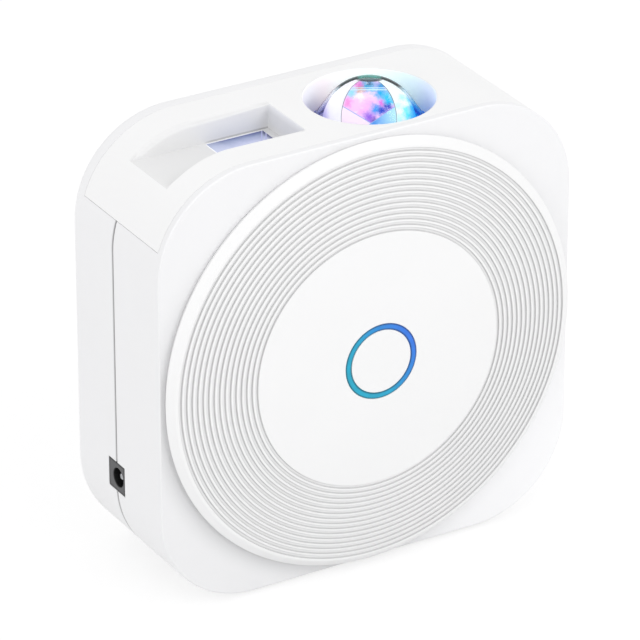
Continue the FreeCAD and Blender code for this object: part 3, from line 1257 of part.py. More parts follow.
# ---------------------------------------------------------------- all nodes
def nodes():
    rotor_pinion_z = (ROTOR_BASE_Z, ROTOR_TOP_Z)
    grating_pinion_z = (GRATING_BASE_Z, GRATING_TOP_Z)
    return {
        "front_shell": front_shell(),
        "rear_shell": rear_shell(),
        "top_cover": top_cover(),
        "case_screws": case_screws(),
        "rubber_feet": rubber_feet(),
        "front_disc": front_disc(),
        "disc_screws": disc_screws(),
        "ring_light_guide": ring_light_guide(),
        "button_cap": button_cap(),
        "switch_plunger": switch_plunger(),
        "switch_base": switch_base(),
        "button_board": button_board(),
        "ring_leds": ring_leds(),
        "button_board_screws": button_board_screws(),
        "laser_window": laser_window(),
        "dome_lens": dome_lens(),
        "petal_lens": petal_lens(),
        "rotor_gear": rotor_gear(),
        "rotor_bush": rotor_bush(),
        "nebula_motor": motor(NEBULA_MOTOR_X, NEBULA_MOTOR_RADIUS, NEBULA_MOTOR_LENGTH),
        "nebula_motor_shaft": motor_shaft(NEBULA_MOTOR_X, rotor_pinion_z[1]),
        "nebula_pinion": pinion(ROTOR_MODULE, WHEEL_POINTS, NEBULA_MOTOR_X, *rotor_pinion_z),
        "nebula_motor_screws": motor_screws(NEBULA_MOTOR_X),
        "lens_holder": lens_holder(),
        "condenser_lens": condenser_lens(),
        "led_board": led_board(),
        "led_emitters": led_emitters(),
        "heat_sink": heat_sink(),
        "lamp_screws": lamp_screws(),
        "laser_barrel": laser_barrel(),
        "laser_lens": laser_lens(),
        "laser_block": laser_block(),
        "laser_block_screws": block_screws(),
        "grating_bush": grating_bush(),
        "grating_wheel": grating_wheel(),
        "grating_film": grating_film(),
        "laser_motor": motor(LASER_MOTOR_X, LASER_MOTOR_RADIUS, LASER_MOTOR_LENGTH),
        "laser_motor_shaft": motor_shaft(LASER_MOTOR_X, grating_pinion_z[1]),
        "laser_pinion": pinion(GRATING_MODULE, WHEEL_POINTS + math.pi, LASER_MOTOR_X, *grating_pinion_z),
        "laser_motor_screws": motor_screws(LASER_MOTOR_X),
        "optics_carrier": optics_carrier(),
        "carrier_screws": carrier_screws(),
        "inlet_housing": inlet_housing(),
        "inlet_contact": inlet_contact(),
        "main_board": main_board(),
        "main_board_screws": main_board_screws(),
        "wireless_module": wireless_module(),
        "board_chips": board_chips(),
        "capacitors": capacitors(),
        "lead_sockets": lead_sockets(),
        "leads": leads(),
    }


def main():
    os.makedirs("parts", exist_ok=True)
    for name, made in nodes().items():
        shape = Part.makeCompound(made) if isinstance(made, list) else made
        if not shape.isValid() or not shape.Solids:
            print("check the shape of", name)
        shape.exportStep(f"parts/{name}.step")


main()
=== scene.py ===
"""Planetarium projector: casing, cover, grooved disc, light ring, lenses, window and inlet
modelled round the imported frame, with the finish of every piece, the floor, lights and camera.

Shapes are modelled in millimetres and brought to metres when a piece is finished."""
import json
import math

import bmesh
import bpy
from mathutils import Matrix, Vector


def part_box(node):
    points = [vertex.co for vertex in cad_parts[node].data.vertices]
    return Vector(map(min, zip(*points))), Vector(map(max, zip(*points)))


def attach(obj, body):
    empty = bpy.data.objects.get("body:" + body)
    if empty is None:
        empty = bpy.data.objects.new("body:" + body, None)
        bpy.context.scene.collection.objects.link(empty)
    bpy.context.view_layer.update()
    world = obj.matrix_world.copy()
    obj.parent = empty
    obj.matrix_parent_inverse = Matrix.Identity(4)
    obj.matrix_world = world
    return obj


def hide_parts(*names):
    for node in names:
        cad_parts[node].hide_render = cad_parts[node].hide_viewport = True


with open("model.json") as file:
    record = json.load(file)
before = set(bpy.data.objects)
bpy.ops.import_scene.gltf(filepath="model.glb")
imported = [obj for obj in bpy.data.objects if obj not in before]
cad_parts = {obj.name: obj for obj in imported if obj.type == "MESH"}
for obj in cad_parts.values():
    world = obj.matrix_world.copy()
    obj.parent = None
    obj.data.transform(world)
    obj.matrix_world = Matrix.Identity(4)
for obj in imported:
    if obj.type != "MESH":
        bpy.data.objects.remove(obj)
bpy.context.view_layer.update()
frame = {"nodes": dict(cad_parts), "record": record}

MM = 0.001


def cad_box(node):
    """Lowest and highest corner of a CAD node, in millimetres."""
    low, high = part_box(node)
    return low / MM, high / MM


# ---------------- sizes in millimetres
SHELL_LOW, SHELL_HIGH = cad_box("front_shell")
REAR_LOW, REAR_HIGH = cad_box("rear_shell")
SIDE_X = SHELL_HIGH.x
BASE_Z = SHELL_LOW.z
TOP_Z = BASE_Z + 2 * SIDE_X
MID_Z = (BASE_Z + TOP_Z) / 2
FRONT_Y = SHELL_LOW.y
BACK_Y = REAR_HIGH.y
CAD_SEAM_GAP = 0.3
SEAM_Y = REAR_LOW.y - CAD_SEAM_GAP / 2
SEAM_GAP = 0.44
APEX_Y = cad_box("front_disc")[0].y

FIT_GAP = 0.1       # Between pieces that fit into each other.
OVER = 1.0          # How far a cutting tool stands out of what it cuts.
FAR_OVER = 4.0
SLACK = 0.02        # For picks by place, and on rounded skin.
SKIN_SLACK = 0.05

CORNER_RADIUS = 29.5
CORNER_STEPS = 28
FRONT_EDGE_RADIUS = 0.5
REAR_EDGE_RADIUS = 3.5
WALL = 2.0
SEAM_EDGE = 0.34
JOINT_EDGE = 0.08
JOINT_GAP = 0.08
FRONT_OPENING_RADIUS = 30.0
CASE_SCREW_PLACES = ((56.5, 98.0), (50.0, 17.0))
CASE_BOSS_RADIUS = 3.8
BOSS_SETBACK = 0.5
COUNTERBORE_RADIUS = 3.0
COUNTERBORE_Y = SEAM_Y + 11.0
COUNTERBORE_EDGE = 0.35
SCREW_HOLE_RADIUS = 1.7

COVER_LOW, COVER_HIGH = cad_box("top_cover")
COVER_Z = TOP_Z - 20.5
COVER_SKIN = 1.6
COVER_LINER_INSET = 0.3
COVER_POST_RADIUS = 3.0
COVER_POST_X = 50.0
COVER_POST_OFFSET = 15.2
COVER_POST_SINK = 0.4

OPTICS_Y = 0.8
RECESS_HALF = 9.9
RECESS_END_X = -13.0
RECESS_FLOOR_Z = TOP_Z - 7.4
RECESS_FOOT_RADIUS = 1.5
RECESS_CORNER_RADIUS = 0.4
RECESS_SOFT_EDGE = 1.8
RECESS_EDGE_SHARE = 0.17    # Of the soft edge, for the recess's other edges.
WELL_EDGE_SHARE = 0.28
FAR_EDGE_START = 0.5        # Above the recess's floor, like the next.
NEAR_EDGE_START = 1.6
END_SLACK = 0.45            # Reach of the end's rounded corners.
WELL_X = 13.5
WELL_RADIUS = 18.5
WELL_WALL = 1.0
WELL_FLOOR_Z = TOP_Z - 10.2
WELL_FLOOR = 1.6
WELL_HOLE_RADIUS = 15.8
ROUND_STEPS = 128
WINDOW_LOW, WINDOW_HIGH = cad_box("laser_window")
WINDOW_LEDGE = 0.8
WINDOW_SIDE_LEDGE = 0.3
WINDOW_STEP_GAP = 0.12
WINDOW_STEP_SINK = 0.06
WINDOW_STEP_ROOT = 0.4
WINDOW_SINK = 0.5
WINDOW_CORNER_RADIUS = 1.0
WINDOW_TOP_EDGE = 0.2
WINDOW_UNDER_EDGE = 0.1
WINDOW_STEP_EDGE = 0.16

DISC_RADIUS = 65.1
DISC_LAND_RADIUS = 63.0
DISC_BEVEL_DEPTH = 1.8
DISC_EDGE_THICKNESS = 0.3
DISC_NECK_RADIUS = 64.3
DISC_CROWN = 518.0
DISC_SKIN = 2.2
DISC_BACK_Y = FRONT_Y - 0.1
DISC_HOLE_LIP = 0.12
DISC_HOLE_RIM = 1.0
DISC_SOFT_CORNER = 0.3
DISC_CRISP_CORNER = 0.14
DISC_STEPS = 256
GROOVE_COUNT = 15
GROOVE_PITCH = 1.62
GROOVE_WIDTH = 0.92
GROOVE_DEPTH = 0.55
GROOVE_LIP = 0.13
GROOVE_FOOT = 0.1
FIRST_GROOVE = 39.0
GROOVES_START = FIRST_GROOVE - GROOVE_PITCH / 2
GROOVES_END = FIRST_GROOVE + (GROOVE_COUNT - 0.5) * GROOVE_PITCH

RING_OUTER = 11.35
RING_INNER = 9.65
RING_Y = APEX_Y + 0.12
RING_LIP = 0.18
RING_FLANGE = 1.0
RING_STEP = 0.7
RING_STEPS = 160
SHOULDER_Y = APEX_Y + 3.3
BUTTON_RADIUS = 9.5
BUTTON_LIP = 0.15
BUTTON_SKIN = 2.0
BUTTON_WALL = 1.4
BUTTON_STEM_RADIUS = 2.0
CROWN_STEPS = 12
BUTTON_CROWN_STEPS = 8

DOME_Z = TOP_Z - 8.9
BELL_RADIUS = 14.0
BELL_SKIN = 0.6
BELL_FLARE = math.radians(34.0)
BELL_FLANGE_RADIUS = 18.2
BELL_FLANGE = 1.0
BELL_FLANGE_EDGE = 0.15
BELL_STEPS = 18
PETAL_RADIUS = 13.1
PETAL_SKIN = 1.2
PETAL_FOOT_Z = WELL_FLOOR_Z + 1.0
PETAL_SPIGOT_RADIUS = 12.85
PETAL_SPIGOT_DEPTH = 2.0
PETAL_SPIGOT_WALL = 0.9
PETAL_GROOVE = 0.16
PETAL_CAP_TILT = math.radians(15.0)
PETAL_STEPS = 24

INLET_LOW, INLET_HIGH = cad_box("inlet_housing")
INLET_BORE_Y = SEAM_Y - 0.8
INLET_Z = (INLET_LOW.z + INLET_HIGH.z) / 2
INLET_BORE_RADIUS = 2.8
INLET_BORE_DEPTH = 10.5
INLET_SEAT_RADIUS = 0.81
INLET_CORNER = 0.35
INLET_FACE_EDGE = 0.2
INLET_MOUTH_EDGE = 0.25

FEET_LOW, FEET_HIGH = cad_box("rubber_feet")
FOOT_X = 28.0
FOOT_RADIUS = 4.5
FOOT_STEPS = 64
FOOT_RECESS = 0.8
FOOT_EDGE = 0.4
FOOT_TOP_EDGE = 0.1
SOLE_RING = 1.6
SOLE_RING_DEPTH = 0.25
SOLE_RING_SLOPE = 0.2
FEET = [(x, y) for x in (-FOOT_X, FOOT_X) for y in (FEET_LOW.y + FOOT_RADIUS, FEET_HIGH.y - FOOT_RADIUS)]

# ---------------- camera, used by the looks too
CAMERA_AZIMUTH = math.radians(-30.6)
CAMERA_ELEVATION = math.radians(27.1)
CAMERA_DISTANCE = 1425.0
CAMERA_LENS = 289.7
AIM_LEFT = 17.04
AIM_UP = 11.46
VIEW_RIGHT = Vector((math.cos(CAMERA_AZIMUTH), math.sin(CAMERA_AZIMUTH), 0))
VIEW_FORWARD = Vector((
    -math.sin(CAMERA_AZIMUTH) * math.cos(CAMERA_ELEVATION),
    math.cos(CAMERA_AZIMUTH) * math.cos(CAMERA_ELEVATION),
    -math.sin(CAMERA_ELEVATION),
))
VIEW_UP = VIEW_RIGHT.cross(VIEW_FORWARD)


# ---------------- modelling helpers
def alone(obj):
    """Selects one object only and makes it active."""
    bpy.ops.object.select_all(action="DESELECT")
    obj.select_set(True)
    bpy.context.view_layer.objects.active = obj


def edit(obj, kind, action="DESELECT"):
    """Opens a mesh for editing with all or nothing selected; kind is VERT, EDGE or FACE."""
    alone(obj)
    bpy.ops.object.mode_set(mode="EDIT")
    bpy.ops.mesh.select_mode(type=kind)
    bpy.ops.mesh.select_all(action=action)


def done():
    bpy.ops.object.mode_set(mode="OBJECT")


def pick(obj, kind, test):
    """Selects the vertices, edges or faces that pass the test, and nothing else."""
    bpy.ops.mesh.select_all(action="DESELECT")
    mesh = bmesh.from_edit_mesh(obj.data)
    for part in getattr(mesh, kind):
        if test(part):
            part.select_set(True)
    bmesh.update_edit_mesh(obj.data)


def ends(edge):
    return edge.verts[0].co, edge.verts[1].co


def middle(edge):
    a, b = ends(edge)
    return (a + b) / 2


def near(value, target, slack=SLACK):
    return abs(value - target) < slack


def along(axis):
    """Test for edges parallel to an axis, 0 to 2."""
    def test(edge):
        a, b = ends(edge)
        return abs((b - a).normalized()[axis]) > 0.999
    return test


def lies_at(axis, place):
    """Test for edges with both ends at one place along an axis."""
    return lambda edge: all(near(end[axis], place) for end in ends(edge))


def face_at(y):
    """Test for faces whose middle is at a y."""
    return lambda face: near(face.calc_center_median().y, y)


def block(name, low, high):
    """Box between two corners."""
    low, high = Vector(low), Vector(high)
    bpy.ops.mesh.primitive_cube_add(size=1, location=(low + high) / 2)
    obj = bpy.context.object
    obj.name = name
    obj.scale = high - low
    bpy.ops.object.transform_apply()
    return obj


def post(name, start, end, radius, steps=32):
    """Cylinder between two points."""
    start, end = Vector(start), Vector(end)
    run = end - start
    bpy.ops.mesh.primitive_cylinder_add(
        vertices=steps, radius=radius, depth=run.length, location=(start + end) / 2,
        rotation=run.to_track_quat("Z", "Y").to_euler(),
    )
    obj = bpy.context.object
    obj.name = name
    bpy.ops.object.transform_apply()
    return obj


def modify(obj, kind, **settings):
    """Adds a modifier with its settings and applies it."""
    alone(obj)
    modifier = obj.modifiers.new(kind.lower(), kind)
    for key, value in settings.items():
        setattr(modifier, key, value)
    bpy.ops.object.modifier_apply(modifier=modifier.name)


def combine(obj, tool, how):
    """Unites the tool with the object, or cuts it out of it or down to it."""
    modify(obj, "BOOLEAN", operation=how, object=tool, solver="EXACT")
    bpy.data.objects.remove(tool)


def cut(obj, tool):
    combine(obj, tool, "DIFFERENCE")


def unite(obj, tool):
    combine(obj, tool, "UNION")


def turned(name, outline, centre, axis, steps):
    """Solid turned from (radius, height) points round an axis, "Y" or "Z", through a centre.

    The outline is closed: it starts and ends on the axis, or ends where it starts."""
    spin_axis = Vector((0, 1, 0)) if axis == "Y" else Vector((0, 0, 1))
    out, foot = Vector((1, 0, 0)), Vector(centre)
    points = [foot + out * radius + spin_axis * height for radius, height in outline]
    bpy.ops.mesh.primitive_plane_add(size=1, location=points[0])
    obj = bpy.context.object
    obj.name = name
    bpy.ops.object.transform_apply()
    edit(obj, "VERT", "SELECT")
    bpy.ops.mesh.merge(type="CENTER")
    for here, there in zip(points, points[1:]):
        bpy.ops.mesh.extrude_vertices_move(TRANSFORM_OT_translate={"value": there - here})
    bpy.ops.mesh.select_all(action="SELECT")
    bpy.ops.mesh.spin(steps=steps, angle=2 * math.pi, center=foot, axis=spin_axis)
    bpy.ops.mesh.select_all(action="SELECT")
    bpy.ops.mesh.remove_doubles(threshold=0.0005)
    bpy.ops.mesh.normals_make_consistent(inside=False)
    done()
    return obj


def arc(centre, radius, start, end, steps):
    """Points (radius, height) of an arc in the outline's plane, angles in degrees."""
    angles = [math.radians(start + (end - start) * i / steps) for i in range(steps + 1)]
    return [(centre[0] + radius * math.cos(a), centre[1] + radius * math.sin(a)) for a in angles]


def eased(before, corner, after, reach, steps=4):
    """Points that round a corner of an outline, from a reach before it to a reach after it."""
    before, corner, after = Vector(before), Vector(corner), Vector(after)
    start = corner + (before - corner).normalized() * reach
    end = corner + (after - corner).normalized() * reach
    shares = [i / steps for i in range(steps + 1)]
    return [tuple(start.lerp(corner, share).lerp(corner.lerp(end, share), share)) for share in shares]


def soften(obj, test, width, steps):
    """Rounds the edges that pass the test."""
    edit(obj, "EDGE")
    pick(obj, "edges", test)
    bpy.ops.mesh.bevel(offset=width, segments=steps, affect="EDGES", clamp_overlap=False)
    done()


def soften_by_share(obj, choices, width, steps, **settings):
    """Rounds edges by a share of a width, given (test, share) choices."""
    edit(obj, "EDGE")
    for test, share in choices:
        pick(obj, "edges", test)
        bpy.ops.transform.edge_bevelweight(value=share)
    done()
    settings.update(limit_method="WEIGHT", width=width, segments=steps, use_clamp_overlap=False)
    modify(obj, "BEVEL", **settings)


def tidy_mesh(obj):
    """Merges doubles, drops loose bits and turns all faces outwards."""
    edit(obj, "VERT", "SELECT")
    bpy.ops.mesh.remove_doubles(threshold=0.001)
    bpy.ops.mesh.dissolve_degenerate(threshold=0.0005)
    bpy.ops.mesh.normals_make_consistent(inside=False)
    done()


def settle(obj, body, slot, material, *nodes, sharp_angle=35.0):
    """Shades a finished piece, brings it to metres, gives it its finish and lets it ride on its body."""
    alone(obj)
    bpy.ops.object.shade_smooth_by_angle(angle=math.radians(sharp_angle))
    modify(obj, "WEIGHTED_NORMAL", keep_sharp=True, weight=80)
    obj.scale = (MM, MM, MM)
    bpy.ops.object.transform_apply()
    obj.data.materials.clear()
    obj.data.materials.append(material)
    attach(obj, body)
    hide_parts(*nodes)


# ---------------- node helpers
WHITE, BLACK = (1, 1, 1, 1), (0, 0, 0, 1)
NUMBER_RESULTS = ("DOT_PRODUCT", "LENGTH", "DISTANCE")


def operation(name, swapped=False):
    """Method of a value that works out one operation."""
    return lambda self, other=0.0: self.step(name, other, swapped)


class Value:
    """Number, place or colour in a node tree. What is worked out with it adds nodes to the tree."""

    def __init__(self, tree, socket):
        self.tree, self.socket = tree, socket

    def made(self, kind, inputs, key=0, **settings):
        """One output of a new node in the same tree."""
        return Value(self.tree, node(self.tree, kind, inputs, **settings).outputs[key])

    def all_made(self, kind, inputs, **settings):
        """Every output of a new node in the same tree."""
        return [Value(self.tree, output) for output in node(self.tree, kind, inputs, **settings).outputs]

    def step(self, name, other=0.0, swapped=False):
        """Result of one operation with a number, a place or another value."""
        spread = self.socket.type != "VALUE"
        if spread and isinstance(other, (int, float)):
            other = (other, other, other)
        first, second = (other, self) if swapped else (self, other)
        kind = "ShaderNodeVectorMath" if spread else "ShaderNodeMath"
        key = "Vector" if spread and name not in NUMBER_RESULTS else "Value"
        return self.made(kind, {0: first, 1: second}, key, operation=name)

    __add__ = operation("ADD")
    __sub__ = operation("SUBTRACT")
    __rsub__ = operation("SUBTRACT", swapped=True)
    __mul__ = operation("MULTIPLY")
    __truediv__ = operation("DIVIDE")
    __rtruediv__ = operation("DIVIDE", swapped=True)
    __gt__ = operation("GREATER_THAN")
    __lt__ = operation("LESS_THAN")
    __abs__ = operation("ABSOLUTE")
    max = operation("MAXIMUM")
    dot = operation("DOT_PRODUCT")
    length = operation("LENGTH")

    def gain(self, factor):
        """Colour or place times a number."""
        inputs = {0: self, "Scale": factor}
        return self.made("ShaderNodeVectorMath", inputs, "Vector", operation="SCALE")

    def parts(self):
        """X, Y and Z of a place."""
        return self.all_made("ShaderNodeSeparateXYZ", {0: self})

    def scaled(self, low, high, to_low=0.0, to_high=1.0, kind="LINEAR"):
        """Value mapped from one range to another and held inside it."""
        inputs = {"Value": self, "From Min": low, "From Max": high, "To Min": to_low, "To Max": to_high}
        return self.made("ShaderNodeMapRange", inputs, interpolation_type=kind)

    def past(self, half_width):
        """0 below 0 and 1 above it, blended over a half width at each side."""
        return self.scaled(-half_width, half_width)

    def spread(self, to_low=0.0, to_high=1.0):
        """Noise, which lies mostly between 0.3 and 0.7, brought to a range."""
        return self.scaled(0.3, 0.7, to_low, to_high)

    def soft(self, *limits):
        """Value mapped like scaled, with a soft start and end."""
        return self.scaled(*limits, kind="SMOOTHSTEP")

    def line(self, half_width):
        """1 where the value is 0, and 0 beyond a half width."""
        return abs(self).soft(half_width * 0.5, half_width, 1.0, 0.0)

    def noise(self, scale, detail, roughness=0.5, key="Fac"):
        """Cloudy pattern."""
        inputs = {"Vector": self, "Scale": scale, "Detail": detail, "Roughness": roughness}
        return self.made("ShaderNodeTexNoise", inputs, key)

    def ramp(self, stops):
        """Colour ramp through (place, colour) stops."""
        made = node(self.tree, "ShaderNodeValToRGB", {"Fac": self})
        elements = made.color_ramp.elements
        while len(elements) < len(stops):
            elements.new(0.5)
        for element, (place, colour) in zip(elements, stops):
            element.position = place
            element.color = colour
        return Value(self.tree, made.outputs["Color"])

    def mix(self, a, b):
        """Colour that is a where this mask is 0 and b where it is 1."""
        made = node(self.tree, "ShaderNodeMix", data_type="RGBA")
        places = {socket.name: i for i, socket in enumerate(made.inputs) if socket.enabled}
        feed(made, {places["Factor"]: self, places["A"]: a, places["B"]: b})
        return Value(self.tree, next(socket for socket in made.outputs if socket.enabled))

    def darkened(self, amount):
        """Colour made darker by an amount from 0 to 1."""
        return self.gain(1.0 - amount)


def feed(made, inputs):
    """Sets a node's inputs to plain values, or links them."""
    for key, value in inputs.items():
        if isinstance(value, Value):
            value.tree.links.new(value.socket, made.inputs[key])
        else:
            made.inputs[key].default_value = value


def node(tree, kind, inputs=None, **settings):
    """New node with its settings and inputs."""
    made = tree.nodes.new(kind)
    for key, value in settings.items():
        setattr(made, key, value)
    feed(made, inputs or {})
    return made


def object_place(tree):
    return Value(tree, tree.nodes.new("ShaderNodeTexCoord").outputs["Object"])


def new_material(name):
    """New material with its shader, and the object's place to work out its look from."""
    material = bpy.data.materials.new(name)
    material.use_nodes = True
    tree = material.node_tree
    tree.nodes.clear()
    output = tree.nodes.new("ShaderNodeOutputMaterial")
    shader = tree.nodes.new("ShaderNodeBsdfPrincipled")
    tree.links.new(shader.outputs["BSDF"], output.inputs["Surface"])
    return material, shader, object_place(tree)


def rgb(red, green, blue):
    """Colour given as screen values from 0 to 255, as the renderer's linear colour."""
    def linear(value):
        share = value / 255
        return share / 12.92 if share <= 0.04045 else ((share + 0.055) / 1.055) ** 2.4
    return (linear(red), linear(green), linear(blue), 1.0)


# ---------------- shared effects
NUMBER, PLACE, COLOUR = "NodeSocketFloat", "NodeSocketVector", "NodeSocketColor"
SURFACE_OUTPUTS = [("Colour", COLOUR), ("Roughness", NUMBER), ("Height", NUMBER)]


def new_group(name, inputs, outputs, build):
    """Node group with (label, kind) inputs and outputs; build makes the outputs from the inputs."""
    group = bpy.data.node_groups.new(name, "ShaderNodeTree")
    for label, kind in inputs:
        group.interface.new_socket(label, in_out="INPUT", socket_type=kind)
    for label, kind in outputs:
        group.interface.new_socket(label, in_out="OUTPUT", socket_type=kind)
    source = group.nodes.new("NodeGroupInput")
    sink = group.nodes.new("NodeGroupOutput")
    made = build(*(Value(group, source.outputs[label]) for label, kind in inputs))
    feed(sink, {label: value for (label, kind), value in zip(outputs, made)})
    return group


def moulded(place, colour, mottling, roughness, grain_size):
    """Moulded plastic: faint mottling of the colour, a fine spark-eroded grain and smudged gloss."""
    clouds = place.noise(38.0, 4.0) * 2.0 - 1.0
    rubbed = place.noise(70.0, 6.0, 0.62).spread(-0.06, 0.07)
    grain = place.noise(1.0 / grain_size, 2.0)
    return colour.gain(clouds * mottling + 1.0), rubbed + roughness, grain


def worked_metal(place, colour, roughness, streak):
    """Worked metal: streaks along the cut, patchy dulling and fine scratches."""
    streaks = (place * streak).noise(2600.0, 3.0)
    dark = place.noise(160.0, 4.0).scaled(0.35, 0.7, 0.82, 1.04)
    return colour.gain(dark), streaks.spread(-0.07, 0.12) + roughness, streaks


def soft_spot(place, centre, radius):
    """Soft round spot: 1 in its middle and 0 beyond its radius."""
    share = place.step("DISTANCE", centre) / radius
    return [share.soft(0.1, 1.0, 1.0, 0.0)]


MOULDED = new_group("moulded plastic", [
    ("Place", PLACE), ("Colour", COLOUR), ("Mottling", NUMBER), ("Roughness", NUMBER), ("Grain Size", NUMBER),
], SURFACE_OUTPUTS, moulded)
WORKED_METAL = new_group("worked metal", [
    ("Place", PLACE), ("Colour", COLOUR), ("Roughness", NUMBER), ("Streak", PLACE),
], SURFACE_OUTPUTS, worked_metal)
SPOT = new_group("soft spot", [("Place", PLACE), ("Middle", PLACE), ("Radius", NUMBER)], [("Mask", NUMBER)],
                 soft_spot)


def surface(shader, colour, roughness, height, bump, depth):
    """Gives a shader its colour, gloss and relief."""
    normal = height.made("ShaderNodeBump", {"Height": height, "Strength": bump, "Distance": depth}, "Normal")
    feed(shader, {"Base Color": colour, "Roughness": roughness, "Normal": normal})


def moulded_material(name, colour, roughness=0.4, mottling=0.015, grain=0.0004, bump=0.06, depth=0.00002,
                     tint=None):
    """Moulded plastic; tint may paint shade and light into the colour, given the place in millimetres and the
    colour.
    """
    material, shader, place = new_material(name)
    painted, rough, height = place.all_made("ShaderNodeGroup", {
        "Place": place, "Colour": colour, "Mottling": mottling, "Roughness": roughness, "Grain Size": grain,
    }, node_tree=MOULDED)
    if tint:
        painted = tint(place / MM, painted)
    surface(shader, painted, rough, height, bump, depth)
    return material


def metal_material(name, colour, roughness, streak=(1.0, 1.0, 0.06)):
    material, shader, place = new_material(name)
    outputs = place.all_made("ShaderNodeGroup", {
        "Place": place, "Colour": colour, "Roughness": roughness, "Streak": streak,
    }, node_tree=WORKED_METAL)
    surface(shader, *outputs, 0.08, 0.00002)
    shader.inputs["Metallic"].default_value = 1.0
    return material


# ---------------- casing shells
def casing_block(name, y0, y1, inset=0.0):
    """Square prism with the casing's round corners, from one y to another."""
    obj = block(name, (-SIDE_X + inset, y0, BASE_Z + inset), (SIDE_X - inset, y1, TOP_Z - inset))
    soften(obj, along(1), CORNER_RADIUS - inset, CORNER_STEPS)
    return obj


def on_skin(point):
    """Whether a point is on the casing's upright skin."""
    straight = SIDE_X - CORNER_RADIUS
    x = abs(point.x) - straight
    z = abs(point.z - MID_Z) - straight
    return near(math.hypot(max(x, 0), max(z, 0)) + min(max(x, z), 0), CORNER_RADIUS, SKIN_SLACK)


def on_rim(edge, test):
    """Whether both ends of an edge are on the casing's skin and pass a test."""
    return all(on_skin(end) and test(end) for end in ends(edge))


def drop_faces(obj, test):
    edit(obj, "FACE")
    pick(obj, "faces", test)
    bpy.ops.mesh.delete(type="FACE")
    done()


def slice_at(obj, place, normal, clear_outer=False):
    """Cuts the whole mesh with a plane, and may drop what is on the normal's side."""
    edit(obj, "VERT", "SELECT")
    bpy.ops.mesh.bisect(plane_co=place, plane_no=normal, clear_outer=clear_outer)
    done()


def thicken(obj, wall):
    """Gives a skin its wall on the inside."""
    modify(obj, "SOLIDIFY", thickness=wall, offset=-1.0, use_even_offset=True)


def open_cover_place(obj, y_cover, z_cover, side):
    """Opens the place of the top cover in a shell; side is 1 for what is behind a y, else -1."""
    slice_at(obj, (0, y_cover, 0), (0, 1, 0))
    slice_at(obj, (0, 0, z_cover), (0, 0, 1))

    def inside_cover(face):
        spot = face.calc_center_median()
        return spot.z > z_cover and (spot.y - y_cover) * side > 0
    drop_faces(obj, inside_cover)


def round_joints(shell, seam, y_cover, z_cover):
    """Rounds the outer edges along the parting line and round the cover's place."""
    def at_seam(edge):
        return on_rim(edge, lambda p: near(p.y, seam))

    def at_cover(edge):
        at_side = on_rim(edge, lambda p: near(p.y, y_cover)) and middle(edge).z > z_cover - 2 * SKIN_SLACK
        return at_side or (on_rim(edge, lambda p: near(p.z, z_cover)) and along(1)(edge))
    choices = ((at_seam, 1.0), (at_cover, JOINT_EDGE / SEAM_EDGE))
    soften_by_share(shell, choices, SEAM_EDGE, 3)


def shell_skin(name, y_outer, seam, edge_radius, edge_steps, y_cover):
    """Open shell with its wall, its rounded joints and the place of the top cover."""
    shell = casing_block(name, min(y_outer, seam), max(y_outer, seam))
    drop_faces(shell, face_at(seam))
    soften(shell, lies_at(1, y_outer), edge_radius, edge_steps)
    z_cover = COVER_Z - JOINT_GAP
    open_cover_place(shell, y_cover, z_cover, 1 if y_outer < seam else -1)
    thicken(shell, WALL)
    round_joints(shell, seam, y_cover, z_cover)
    return shell


def finished_shell(shell, y_low, y_high, material, node_name):
    """Cuts a shell's pocket for the inlet and its recesses for the feet."""
    margin = Vector((FIT_GAP, FIT_GAP, FIT_GAP))
    low, high = INLET_LOW - margin, INLET_HIGH + margin
    cut(shell, block("inlet pocket", (INLET_LOW.x - OVER, low.y, low.z), high))
    for x, y in FEET:
        if y_low < y < y_high:
            cut(shell, post("foot recess", (x, y, BASE_Z - OVER), (x, y, BASE_Z + FOOT_RECESS),
                            FOOT_RADIUS + FIT_GAP, FOOT_STEPS))
    tidy_mesh(shell)
    settle(shell, "housing", "white_shell", material, node_name)


def front_shell(material):
    seam = SEAM_Y - SEAM_GAP / 2
    shell = shell_skin("front_shell_skin", FRONT_Y, seam, FRONT_EDGE_RADIUS, 4, COVER_LOW.y - JOINT_GAP)
    cut(shell, post("front opening", (0, FRONT_Y - OVER, MID_Z), (0, FRONT_Y + WALL + OVER, MID_Z),
                    FRONT_OPENING_RADIUS, 96))
    finished_shell(shell, FRONT_Y, seam, material, "front_shell")


def rear_shell(material):
    seam = SEAM_Y + SEAM_GAP / 2
    shell = shell_skin("rear_shell_skin", BACK_Y, seam, REAR_EDGE_RADIUS, 10, COVER_HIGH.y + JOINT_GAP)
    screws = [(x * side, z) for x, z in CASE_SCREW_PLACES for side in (-1, 1)]
    boss_back = BACK_Y - WALL / 2
    for x, z in screws:
        unite(shell, post("boss", (x, seam + BOSS_SETBACK, z), (x, boss_back, z), CASE_BOSS_RADIUS, 48))
    for x, z in screws:
        cut(shell, post("counterbore", (x, COUNTERBORE_Y, z), (x, BACK_Y + OVER, z), COUNTERBORE_RADIUS, 64))
        cut(shell, post("clearance", (x, seam - OVER, z), (x, COUNTERBORE_Y + OVER, z), SCREW_HOLE_RADIUS))

    def mouth(edge):
        return lies_at(1, BACK_Y)(edge) and any(
            all(near(math.hypot(p.x - x, p.z - z), COUNTERBORE_RADIUS) for p in ends(edge))
            for x, z in screws)
    soften(shell, mouth, COUNTERBORE_EDGE, 3)
    finished_shell(shell, seam, BACK_Y, material, "rear_shell")


